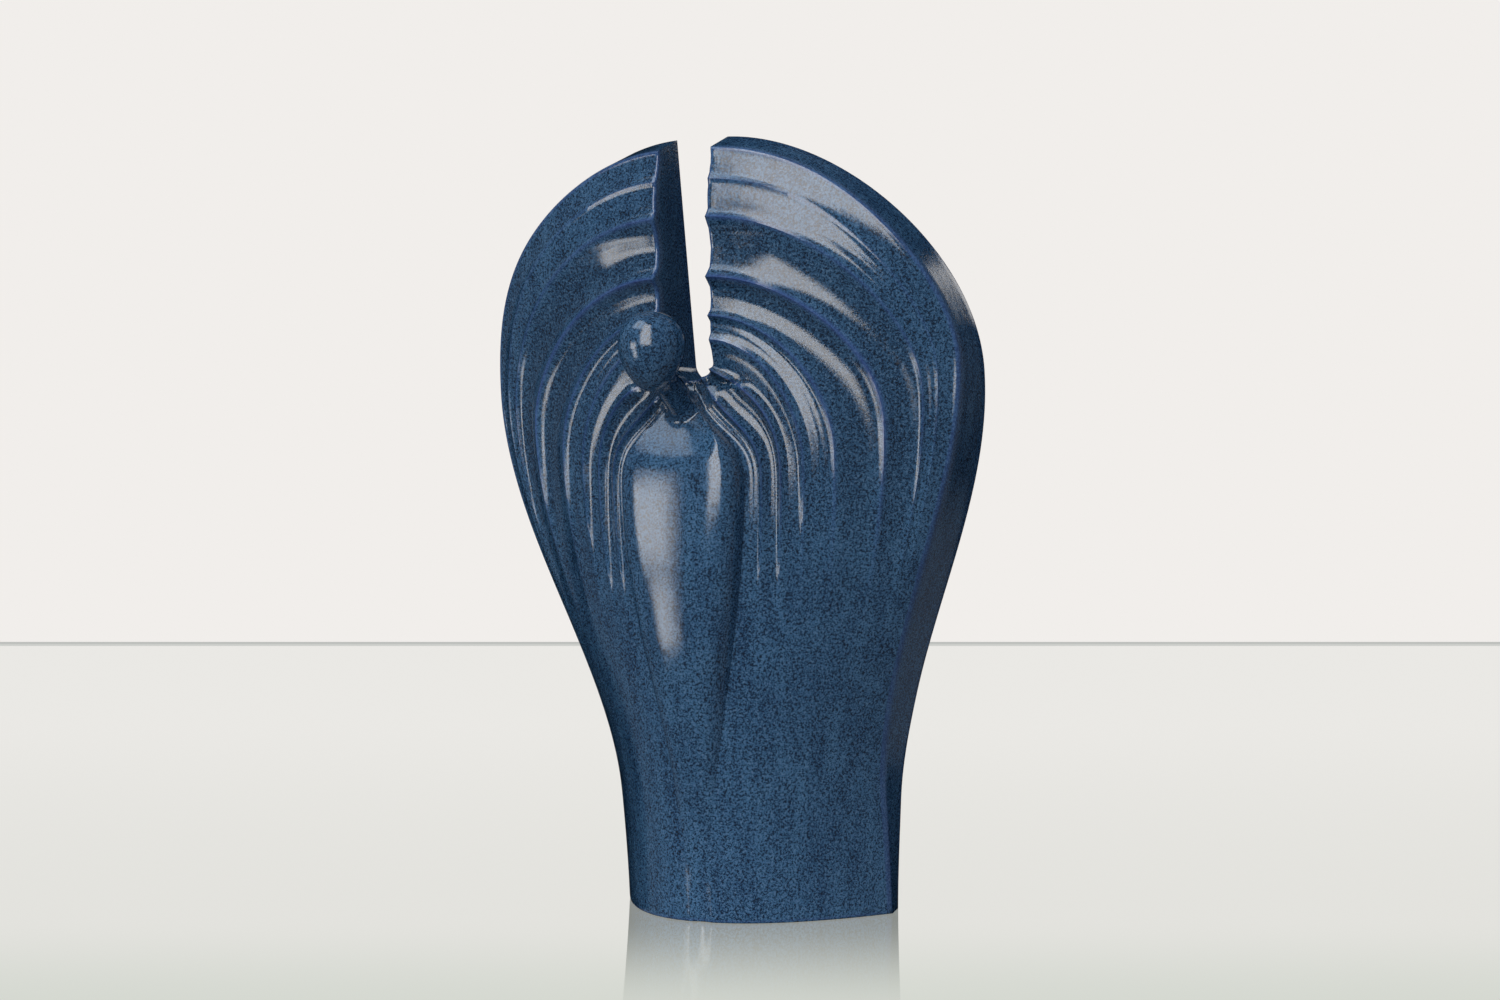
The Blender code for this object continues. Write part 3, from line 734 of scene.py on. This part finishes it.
    def neck(self) -> bpy.types.Mesh:
        """The neck: circles along a line that arches a little, thinning from the chest to the head."""
        rings, sides = self.fineness.neck_rings, self.fineness.neck_sides
        u = np.linspace(0.0, 1.0, rings)[:, None]
        angles = np.arange(sides)[None, :] * 2.0 * math.pi / sides
        run = self.head_forward - self.neck_foot_forward
        rise = self.head_middle - self.neck_top_drop - self.neck_foot_height
        length = math.hypot(run, rise)
        swell = (self.neck_foot_width - self.neck_top_width) * (1.0 - u) ** 2
        radius = (self.neck_top_width + swell) / 2.0
        arch = self.neck_arch * 4.0 * u * (1.0 - u)
        x = radius * np.cos(angles)
        y = -self.neck_foot_forward - run * u + radius * np.sin(angles) * rise / length
        z = self.neck_foot_height + rise * u + arch + radius * np.sin(angles) * run / length
        points = np.stack([x, y, z], -1).reshape(-1, 3)
        numbers = list(range(rings * sides))
        faces = Mesher.tube_quads(rings, sides) + [numbers[:sides], numbers[-sides:][::-1]]
        return Mesher.mesh("neck", points, faces, None, Slot.CLAY.value)

    def head(self) -> bpy.types.Mesh:
        """The head, a plain egg: radius is the sine of the angle, wider above by the taper."""
        angles = np.linspace(0.0, math.pi, self.fineness.head_rings)
        height = -np.cos(angles)
        radius = np.sin(angles) * (1.0 + self.head_taper * height) / 2.0
        profile = list(zip(radius.tolist(), (height * self.head_tall / 2.0).tolist()))
        mesh = Mesher.turned("head", profile, self.fineness.head_sides, Slot.HOLLOW.value)
        mesh.transform(Matrix.Diagonal((self.head_width, self.head_depth, 1.0, 1.0)))
        return Mesher.moved(mesh, 0.0, -self.head_forward, self.head_middle)

    def chamber(self) -> bpy.types.Mesh:
        """The hollow for the ashes, a wall's thickness inside the casting and its deepest grooves."""
        form, rows = self.form, self.fineness.hollow_rows
        columns = np.concatenate([[0.0, 0.5], np.arange(1.0, form.rim + 1.0)])
        wing = np.linspace(0.0, form.wing_share, rows)[:-1]
        skirt = np.linspace(form.wing_share, 1.0, rows)
        s, t = np.meshgrid(columns, np.concatenate([wing, skirt]), indexing="ij")
        x, z = form.wing_point(s, t, form.wall, form.floor)
        grooves = np.maximum(form.groove_at(s, 0.0 * t), form.groove_at(s, t))
        carved = np.where(s > 1.0, grooves, 0.0) + form.throat(x, z)
        wall = form.wall * form.slope_factor(form.front_depth, x, z)
        front = np.stack([x, form.front_depth(x, z) + wall + carved, z], -1)
        x, z = form.back_place((x, z), s, t, form.wall, form.floor)
        wall = form.wall * form.slope_factor(form.back_depth, x, z)
        back = np.stack([x, form.back_depth(x, z) - wall, z], -1)
        return Mesher.mesh("hollow", *Mesher.closed(front, back), None, Slot.HOLLOW.value)

    def hole(self) -> bpy.types.Mesh:
        """The filling hole through the floor, with the recess for the stopper's flange below it."""
        radius, recess = self.hole_diameter / 2.0, self.recess_diameter / 2.0
        below, shelf = -self.form.floor, self.recess_depth
        top = self.form.floor + self.form.wall
        profile = [(0.0, below), (recess, below), (recess, shelf), (radius, shelf), (radius, top), (0.0, top)]
        mesh = Mesher.turned("hole", profile, self.fineness.hole_sides, Slot.CLAY.value)
        return Mesher.moved(mesh, 0.0, -self.hole_forward, 0.0)

    def build(self, shift: float) -> bpy.types.Object:
        """Make the casting.

        The neck and the head come in with slots of their own, by which their seams are found and
        rounded. After that the whole outside is glazed.

        Args:
            shift: how far the form moves along Y to stand in the part's own frame.

        Returns:
            The urn's object, its place in its mesh.
        """
        body = Mesher.thing("urn_casting", self.outside())
        for _ in Slot:
            body.data.materials.append(None)
        figure = [Mesher.thing("neck", self.neck()), Mesher.thing("head", self.head())]
        Mesher.combine(body, figure, "UNION")
        Mesher.soften_seams(body.data, reach=6, rounds=60, strength=0.5)
        glazed = np.full(len(body.data.polygons), Slot.GLAZE.value, np.int32)
        body.data.polygons.foreach_set("material_index", glazed)
        hollows = [Mesher.thing("hollow", self.chamber()), Mesher.thing("hole", self.hole())]
        Mesher.combine(body, hollows, "DIFFERENCE")
        self.mark_foot(body.data)
        Mesher.moved(body.data, 0.0, shift, 0.0)
        body.data.shade_smooth()
        body.data.set_sharp_from_angle(angle=math.radians(38.0))
        return body

    @staticmethod
    def mark_foot(mesh: bpy.types.Mesh, reach: float = 0.0002, facing: float = -0.9) -> None:
        """Give the clay's slot to the faces near the ground that look down."""
        heights = Mesher.read(mesh.polygons, "center", 3)[:, 2]
        normals = Mesher.read(mesh.polygons, "normal", 3)[:, 2]
        slots = Mesher.read(mesh.polygons, "material_index", kind=np.int32)
        slots[(heights < reach) & (normals < facing)] = Slot.CLAY.value
        mesh.polygons.foreach_set("material_index", slots)


@dataclass
class Stopper:
    """The rubber stopper: a flange in the recess, a neck in the hole and a lip above the floor."""

    cast: UrnBody
    fit_gap: float = 0.0003
    flange_thick: float = 0.0022
    lip_overhang: float = 0.0012
    lip_thick: float = 0.003
    pull_diameter: float = 0.014
    pull_depth: float = 0.0012
    corner: float = 0.0005
    corner_points: int = 5
    sides: int = 96

    def profile(self) -> list[tuple[float, float]]:
        """Radius and height of each corner, from the middle of the underside to the middle above."""
        flange = self.cast.recess_diameter / 2.0 - self.fit_gap
        neck = self.cast.hole_diameter / 2.0 - self.fit_gap
        under = self.cast.recess_depth - self.fit_gap
        bottom = under - self.flange_thick
        over = self.cast.form.floor + self.fit_gap
        pull = self.pull_diameter / 2.0
        return [
            (0.0, bottom + self.pull_depth),
            (pull, bottom + self.pull_depth),
            (pull + self.pull_depth, bottom),
            (flange, bottom),
            (flange, under),
            (neck, under),
            (neck, over),
            (self.cast.hole_diameter / 2.0 + self.lip_overhang, over),
            (neck - self.lip_overhang, over + self.lip_thick),
            (0.0, over + self.lip_thick),
        ]

    def rounded(self) -> list[tuple[float, float]]:
        """The profile with each corner cut back and turned into points of a quadratic Bezier."""
        corners = np.array(self.profile())
        places = [corners[0]]
        for before, here, after in zip(corners[:-2], corners[1:-1], corners[2:]):
            back = (before - here) / np.linalg.norm(before - here)
            ahead = (after - here) / np.linalg.norm(after - here)
            start, end = here + back * self.corner, here + ahead * self.corner
            for u in np.linspace(0.0, 1.0, self.corner_points):
                places.append((1 - u) ** 2 * start + 2 * u * (1 - u) * here + u * u * end)
        places.append(corners[-1])
        return [tuple(place) for place in places]

    def build(self, shift: float) -> bpy.types.Object:
        """Make the stopper in its place in the underside.

        Args:
            shift: how far the form moves along Y to stand in the part's own frame.

        Returns:
            The stopper's object.
        """
        mesh = Mesher.turned("stopper", self.rounded(), self.sides)
        Mesher.moved(mesh, 0.0, shift - self.cast.hole_forward, 0.0)
        mesh.shade_smooth()
        mesh.set_sharp_from_angle(angle=math.radians(50.0))
        return Mesher.thing("rubber_stopper", mesh)


def linear(red: float, green: float, blue: float) -> Colour:
    """Turn a screen colour of 0 to 255 into scene light: the usual power of 2.4 with a straight foot."""
    shares = [value / 255.0 for value in (red, green, blue)]
    return tuple(v / 12.92 if v < 0.04045 else ((v + 0.055) / 1.055) ** 2.4 for v in shares)


@dataclass
class Graph:
    """Builds a node tree."""

    tree: bpy.types.NodeTree

    def node(self, kind: str, settings: dict | None = None, **inputs: Value) -> bpy.types.Node:
        """Add a node.

        Args:
            kind: the node's type.
            settings: properties of the node.
            inputs: values or sockets for its inputs, spaces in their names written as _.

        Returns:
            The node.
        """
        node = self.tree.nodes.new(kind)
        for key, value in (settings or {}).items():
            setattr(node, key, value)
        for key, value in inputs.items():
            self.feed(node.inputs[key.replace("_", " ")], value)
        return node

    def feed(self, target: Socket, value: Value) -> None:
        """Set an input to a value, or link a socket to it."""
        if isinstance(value, Socket):
            self.tree.links.new(value, target)
        elif isinstance(value, tuple) and len(value) == 3 and target.type == "RGBA":
            target.default_value = (*value, 1.0)
        else:
            target.default_value = value

    def feed_all(self, node: bpy.types.Node, *values: Value) -> Socket:
        """Feed a node's inputs in their order, and give its first output."""
        for target, value in zip(node.inputs, values):
            self.feed(target, value)
        return node.outputs[0]

    def mix(self, share: Value, first: Value, second: Value) -> Socket:
        """Mix two colours by a share."""
        node = self.node("ShaderNodeMix", {"data_type": "RGBA"})
        for number, value in ((0, share), (6, first), (7, second)):
            self.feed(node.inputs[number], value)
        return node.outputs[2]

    def math(self, operation: str, first: Value, second: Value) -> Socket:
        """A sum on two values."""
        return self.feed_all(self.node("ShaderNodeMath", {"operation": operation}), first, second)

    def spread(self, value: Socket, low: float, high: float, first: float = 0.0, last: float = 1.0) -> Socket:
        """Turn low to high into first to last, smoothly and held at both ends."""
        node = self.node("ShaderNodeMapRange", {"interpolation_type": "SMOOTHSTEP"})
        return self.feed_all(node, value, low, high, first, last)

    def noise(self, vector: Socket, scale: float, detail: float, roughness: float = 0.5) -> Socket:
        """Even noise of a number of bumps a metre."""
        values = {"Vector": vector, "Scale": scale, "Detail": detail, "Roughness": roughness}
        return self.node("ShaderNodeTexNoise", **values).outputs[0]

    def attribute(self, name: str) -> Socket:
        """A value that the mesh carries at each point."""
        return self.node("ShaderNodeAttribute", {"attribute_name": name}).outputs["Fac"]

    def specks(self, speckle: bpy.types.NodeTree, vector: Socket, density: Value = 0.0) -> bpy.types.Node:
        """The shared specks on these coordinates."""
        return self.node("ShaderNodeGroup", {"node_tree": speckle}, Vector=vector, Density=density)

    def bump(self, shader: bpy.types.Node, height: Socket, strength: float, distance: float) -> None:
        """Give a shader bumps from a height."""
        node = self.node("ShaderNodeBump", None, Height=height, Strength=strength, Distance=distance)
        self.feed(shader.inputs["Normal"], node.outputs["Normal"])


def start_material(name: str) -> tuple[bpy.types.Material, Graph, bpy.types.Node]:
    """A new material, with its graph and its Principled BSDF."""
    material = bpy.data.materials.new(name)
    material.use_nodes = True
    return material, Graph(material.node_tree), material.node_tree.nodes["Principled BSDF"]


@dataclass(frozen=True)
class Speckle:
    """Specks of two sizes, as dark and pale shares and a height, shared by the glaze and the clay.

    coarse and fine are bumps a metre. dark and pale are the levels of the noise between which the
    specks rise. crowding is how much more of them a higher density brings.
    """

    coarse: float = 900.0
    fine: float = 1900.0
    coarse_share: float = 0.62
    crowding: float = 0.05
    dark: tuple[float, float] = (0.495, 0.550)
    pale: tuple[float, float] = (0.455, 0.395)

    def build(self) -> bpy.types.NodeTree:
        """Make the node group."""
        tree = bpy.data.node_groups.new("speckle", "ShaderNodeTree")
        tree.interface.new_socket("Vector", in_out="INPUT", socket_type="NodeSocketVector")
        tree.interface.new_socket("Density", in_out="INPUT", socket_type="NodeSocketFloat")
        for name in ("Dark", "Pale", "Height"):
            tree.interface.new_socket(name, in_out="OUTPUT", socket_type="NodeSocketFloat")
        graph = Graph(tree)
        entry = tree.nodes.new("NodeGroupInput").outputs
        coarse = graph.noise(entry["Vector"], self.coarse, 3.0, 0.65)
        fine = graph.noise(entry["Vector"], self.fine, 2.0, 0.6)
        most = graph.math("MULTIPLY", coarse, self.coarse_share)
        level = graph.math("ADD", most, graph.math("MULTIPLY", fine, 1.0 - self.coarse_share))
        eager = graph.math("ADD", level, graph.math("MULTIPLY", entry["Density"], self.crowding))
        leave = tree.nodes.new("NodeGroupOutput").inputs
        graph.feed(leave["Dark"], graph.spread(eager, *self.dark))
        graph.feed(leave["Pale"], graph.spread(level, *self.pale))
        graph.feed(leave["Height"], level)
        return tree


@dataclass(frozen=True)
class GlazeFinish:
    """Glossy blue glaze with navy specks, violet where it is thin and darker where it pools."""

    body: Colour = linear(70, 112, 150)
    deep: Colour = linear(46, 84, 122)
    speck: Colour = linear(10, 20, 36)
    pale: Colour = linear(112, 142, 170)
    thin: Colour = linear(72, 88, 162)
    pool: Colour = linear(24, 48, 72)
    gloss: float = 0.07
    ior: float = 1.55
    run_scale: Colour = (1.0, 1.0, 0.16)
    run_bumps: float = 120.0
    cloud_bumps: float = 22.0
    cloud_share: float = 0.4
    pool_share: float = 0.55
    pale_share: float = 0.5
    speck_cover: float = 0.92
    speck_loss: float = 0.45
    thin_power: float = 1.5
    thin_share: float = 0.5
    ripple_bumps: float = 170.0
    ripple_share: float = 0.9
    bump_strength: float = 0.55
    bump_depth: float = 0.00012

    def build(self, speckle: bpy.types.NodeTree) -> bpy.types.Material:
        """Make the material on Object coordinates and the "thin" and "pool" attributes."""
        material, graph, shader = start_material("speckled_blue_glaze")
        vector = graph.node("ShaderNodeTexCoord").outputs["Object"]
        thin, pool = graph.attribute("thin"), graph.attribute("pool")
        drawn_out = graph.node("ShaderNodeMapping", None, Vector=vector, Scale=self.run_scale)
        runs = graph.noise(drawn_out.outputs[0], self.run_bumps, 4.0, 0.6)
        clouds = graph.spread(graph.noise(vector, self.cloud_bumps, 2.0), 0.4, 0.7)
        specks = graph.specks(speckle, vector, graph.math("SUBTRACT", runs, 0.5)).outputs
        tone = graph.mix(graph.spread(runs, 0.30, 0.80), self.body, self.deep)
        tone = graph.mix(graph.math("MULTIPLY", clouds, self.cloud_share), tone, self.deep)
        tone = graph.mix(graph.math("MULTIPLY", pool, self.pool_share), tone, self.pool)
        tone = graph.mix(graph.math("MULTIPLY", specks["Pale"], self.pale_share), tone, self.pale)
        cover = graph.math("SUBTRACT", self.speck_cover, graph.math("MULTIPLY", thin, self.speck_loss))
        tone = graph.mix(graph.math("MULTIPLY", specks["Dark"], cover), tone, self.speck)
        bare = graph.math("MULTIPLY", graph.math("POWER", thin, self.thin_power), self.thin_share)
        tone = graph.mix(bare, tone, self.thin)
        graph.feed(shader.inputs["Base Color"], tone)
        shader.inputs["Roughness"].default_value = self.gloss
        shader.inputs["IOR"].default_value = self.ior
        ripple = graph.math("MULTIPLY", graph.noise(vector, self.ripple_bumps, 2.0), self.ripple_share)
        height = graph.math("ADD", ripple, specks["Height"])
        graph.bump(shader, height, self.bump_strength, self.bump_depth)
        return material


@dataclass(frozen=True)
class BareClayFinish:
    """Unglazed buff clay of the foot's underside and the inside."""

    body: Colour = linear(206, 196, 182)
    shade: Colour = linear(172, 158, 142)
    roughness: float = 0.85
    cloud_bumps: float = 45.0
    speck_share: float = 0.25
    bump_strength: float = 0.5
    bump_depth: float = 0.0002

    def build(self, speckle: bpy.types.NodeTree) -> bpy.types.Material:
        """Make the material on Object coordinates."""
        material, graph, shader = start_material("bare_clay")
        vector = graph.node("ShaderNodeTexCoord").outputs["Object"]
        clouds = graph.noise(vector, self.cloud_bumps, 4.0, 0.6)
        specks = graph.specks(speckle, vector).outputs
        tone = graph.mix(graph.spread(clouds, 0.35, 0.7), self.body, self.shade)
        tone = graph.mix(graph.math("MULTIPLY", specks["Dark"], self.speck_share), tone, self.shade)
        graph.feed(shader.inputs["Base Color"], tone)
        shader.inputs["Roughness"].default_value = self.roughness
        graph.bump(shader, specks["Height"], self.bump_strength, self.bump_depth)
        return material


@dataclass(frozen=True)
class RubberFinish:
    """Dark moulded rubber with a fine matt grain and a little dust."""

    body: Colour = linear(34, 35, 38)
    dust: Colour = linear(72, 72, 74)
    roughness: float = 0.58
    dusty_roughness: float = 0.72
    cloud_bumps: float = 90.0
    dust_share: float = 0.35
    grain_bumps: float = 2200.0
    bump_strength: float = 0.4
    bump_depth: float = 0.0001

    def build(self) -> bpy.types.Material:
        """Make the material on Object coordinates."""
        material, graph, shader = start_material("stopper_rubber_finish")
        vector = graph.node("ShaderNodeTexCoord").outputs["Object"]
        clouds = graph.noise(vector, self.cloud_bumps, 3.0)
        dusty = graph.math("MULTIPLY", graph.spread(clouds, 0.45, 0.7), self.dust_share)
        graph.feed(shader.inputs["Base Color"], graph.mix(dusty, self.body, self.dust))
        roughness = graph.spread(clouds, 0.3, 0.7, self.roughness, self.dusty_roughness)
        graph.feed(shader.inputs["Roughness"], roughness)
        grain = graph.noise(vector, self.grain_bumps, 2.0)
        graph.bump(shader, grain, self.bump_strength, self.bump_depth)
        return material


@dataclass(frozen=True)
class SoftBox:
    """A soft light panel round the urn. Angles are in degrees from -Y towards +X, sizes in metres."""

    name: str
    azimuth: float
    distance: float
    width: float
    low: float
    high: float
    radiance: float
    colour: Colour = (1.0, 0.97, 0.93)
    use: LightUse = LightUse.MIRRORED
    tilt: float = 0.0

    def build(self) -> bpy.types.Object:
        """Make the light, with its power worked out from its radiance: pi times the area times it."""
        turn = math.radians(self.azimuth)
        tall = self.high - self.low
        lamp = bpy.data.lights.new(self.name, "AREA")
        lamp.shape = "RECTANGLE"
        lamp.size = self.width
        lamp.size_y = tall
        lamp.color = self.colour
        lamp.energy = self.radiance * math.pi * self.width * tall
        item = bpy.data.objects.new(self.name, lamp)
        bpy.context.scene.collection.objects.link(item)
        item.location = (
            self.distance * math.sin(turn),
            -self.distance * math.cos(turn),
            (self.low + self.high) / 2.0,
        )
        item.rotation_euler = (math.radians(90.0 - self.tilt), 0.0, turn)
        item.visible_camera = False
        item.visible_diffuse = self.use is LightUse.SHADING
        item.visible_glossy = self.use is LightUse.MIRRORED
        return item


@dataclass
class Studio:
    """The table, the backdrop, the lights and the camera, as in the photograph."""

    camera_azimuth: float = 25.0
    camera_distance: float = 1.344
    camera_height: float = 0.193
    lens: float = 60.0
    shift_x: float = -0.0053
    shift_y: float = 0.0307
    half_width: float = 9.0
    table_start: float = -2.5
    table_reach: float = 4.93
    edge_height: float = 0.004
    backdrop_reach: float = 7.5
    backdrop_heights: tuple[float, float] = (-2.0, 7.0)
    # Painted shade: the table's glow runs from this darker near colour to the brighter far one.
    table_near_painted_shade: Colour = linear(211, 215, 207)
    table_far: Colour = linear(233, 234, 229)
    edge: Colour = linear(188, 190, 187)
    backdrop: Colour = linear(241, 238, 235)
    room: Colour = linear(206, 220, 240)
    ambient: float = 0.20
    mirror: Colour = (0.94, 0.94, 0.94)
    mirror_roughness: float = 0.03
    mirror_shares: tuple[float, float] = (0.05, 0.62)
    mirror_rise: tuple[float, float] = (1.03, 1.30)
    # Distances from the camera over which the table's painted shade gives way to its full glow.
    painted_table_falloff: tuple[float, float] = (0.9, 2.8)
    boxes: tuple[SoftBox, ...] = (
        SoftBox("key", 9.0, 1.30, 0.84, 0.18, 2.9, 5.5),
        SoftBox("side", -35.0, 1.30, 0.44, 0.03, 0.35, 5.5),
        SoftBox("low_side", -33.0, 1.30, 0.32, -0.36, -0.02, 5.0),
        SoftBox("overhead", -38.0, 0.85, 1.00, 1.20, 2.00, 3.2, (0.78, 0.88, 1.0), tilt=60.0),
        SoftBox("rim", 160.0, 1.60, 0.36, 0.70, 1.10, 1.8),
        SoftBox("fill", 8.0, 2.00, 1.60, 0.60, 2.3, 5.4, (1.0, 1.0, 1.0), LightUse.SHADING),
    )

    def frame_point(self, across: float, away: float, height: float, shift: float) -> Colour:
        """A point named from the camera: across its view, away from it and above the table."""
        turn = math.radians(self.camera_azimuth)
        reach = away - self.camera_distance
        x = across * math.cos(turn) - reach * math.sin(turn)
        y = across * math.sin(turn) + reach * math.cos(turn)
        return (x, y + shift, height)

    @staticmethod
    def plane(name: str, corners: list, material: bpy.types.Material) -> bpy.types.Object:
        """A flat stage piece through four corners."""
        mesh = bpy.data.meshes.new(name)
        mesh.from_pydata(corners, [], [(0, 1, 2, 3)])
        mesh.materials.append(material)
        item = Mesher.thing(name, mesh)
        return item

    def upright(
        self, name: str, away: float, low: float, high: float, colour: Colour, shift: float
    ) -> bpy.types.Object:
        """An upright stage piece across the view, of one even brightness."""
        wide = self.half_width
        places = [(-wide, low), (wide, low), (wide, high), (-wide, high)]
        corners = [self.frame_point(across, away, height, shift) for across, height in places]
        return self.plane(name, corners, self.glowing(name, colour))

    @staticmethod
    def glowing(name: str, colour: Colour) -> bpy.types.Material:
        """A studio surface of one even brightness."""
        material, _, shader = start_material(name)
        shader.inputs["Base Color"].default_value = (0.0, 0.0, 0.0, 1.0)
        shader.inputs["Specular IOR Level"].default_value = 0.0
        shader.inputs["Emission Color"].default_value = (*colour, 1.0)
        shader.inputs["Emission Strength"].default_value = 1.0
        return material

    def table_top(self, shift: float) -> bpy.types.Material:
        """The glass table: a glow with painted shade, darker towards the front, mixed with a mirror that
        fades towards the front.
        """
        material = self.glowing("table_top", self.table_far)
        graph = Graph(material.node_tree)
        shader = material.node_tree.nodes["Principled BSDF"]
        turn = math.radians(self.camera_azimuth)
        along = graph.node("ShaderNodeVectorMath", {"operation": "DOT_PRODUCT"})
        place = graph.node("ShaderNodeNewGeometry").outputs["Position"]
        graph.feed_all(along, place, (-math.sin(turn), math.cos(turn), 0.0))
        away = graph.math("ADD", along.outputs["Value"], self.camera_distance - shift * math.cos(turn))
        # Painted shade: the glow darkens from the far colour to the near one towards the camera.
        tone = graph.mix(graph.spread(away, *self.painted_table_falloff), self.table_near_painted_shade, self.table_far)
        graph.feed(shader.inputs["Emission Color"], tone)
        share = graph.spread(away, *self.mirror_rise, *self.mirror_shares)
        mirror = graph.node("ShaderNodeBsdfGlossy", None, Color=self.mirror, Roughness=self.mirror_roughness)
        mixed = graph.feed_all(graph.node("ShaderNodeMixShader"), share, shader.outputs[0], mirror.outputs[0])
        graph.feed(material.node_tree.nodes["Material Output"].inputs["Surface"], mixed)
        return material

    def build(self, shift: float) -> None:
        """Set the stage. The backdrop and the table light nothing but the table's own mirror.

        Args:
            shift: how far the form moved along Y to stand in the part's own frame.
        """
        wide, near, far = self.half_width, self.table_start, self.table_reach
        places = [(-wide, near), (wide, near), (wide, far), (-wide, far)]
        corners = [self.frame_point(across, away, 0.0, shift) for across, away in places]
        table = self.plane("table", corners, self.table_top(shift))
        self.upright("table_edge", far, 0.0, self.edge_height, self.edge, shift)
        backdrop = self.upright("backdrop", self.backdrop_reach, *self.backdrop_heights, self.backdrop, shift)
        mirrors = bpy.data.collections.new("mirrors_stage")
        mirrors.objects.link(table)
        for item in (backdrop, table):
            item.light_linking.receiver_collection = mirrors
        table.visible_glossy = False
        for box in self.boxes:
            box.build()
        self.light_room()
        self.place_camera(shift)

    def light_room(self) -> None:
        """A dim even room, and screen colours left as they are."""
        world = bpy.data.worlds.new("room")
        world.use_nodes = True
        background = world.node_tree.nodes["Background"]
        background.inputs["Color"].default_value = (*self.room, 1.0)
        background.inputs["Strength"].default_value = self.ambient
        bpy.context.scene.world = world
        bpy.context.scene.view_settings.view_transform = "Standard"

    def place_camera(self, shift: float) -> None:
        """The camera, level, at the photograph's angle and distance."""
        lens = bpy.data.cameras.new("camera")
        lens.lens = self.lens
        lens.sensor_width = 36.0
        lens.shift_x = self.shift_x
        lens.shift_y = self.shift_y
        lens.dof.use_dof = False
        item = bpy.data.objects.new("camera", lens)
        bpy.context.scene.collection.objects.link(item)
        item.location = self.frame_point(0.0, 0.0, self.camera_height, shift)
        item.rotation_euler = (math.radians(90.0), 0.0, math.radians(self.camera_azimuth))
        bpy.context.scene.camera = item


def middle_depth(meshes: list[bpy.types.Mesh]) -> float:
    """Y of the middle of the box round some meshes."""
    depths = np.concatenate([Mesher.read(mesh.vertices, "co", 3)[:, 1] for mesh in meshes])
    return float(depths.min() + depths.max()) / 2.0


def main() -> None:
    """Dress the urn and its stopper, and set the stage."""
    logging.basicConfig(level=logging.INFO, format="%(name)s: %(message)s")
    form = UrnForm()
    cast = UrnBody(form)
    outside, head = cast.outside(), cast.head()
    shift = (CAD_BOX[0].y + CAD_BOX[1].y) / 2.0 - middle_depth([outside, head])
    LOG.info("shift %.5f", shift)
    for mesh in (outside, head):
        bpy.data.meshes.remove(mesh)
    Studio().build(shift)
    speckle = Speckle().build()
    glaze, clay = GlazeFinish().build(speckle), BareClayFinish().build(speckle)
    urn = cast.build(shift)
    for number, material in enumerate((glaze, clay, clay)):
        urn.data.materials[number] = material
    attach(urn, "root")
    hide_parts("urn_body")
    stopper = Stopper(cast).build(shift)
    stopper.data.materials.append(RubberFinish().build())
    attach(stopper, "root")
    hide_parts("base_stopper")
    LOG.info("triangles %d", sum(len(face.vertices) - 2 for face in urn.data.polygons))


if __name__ == "__main__":
    main()
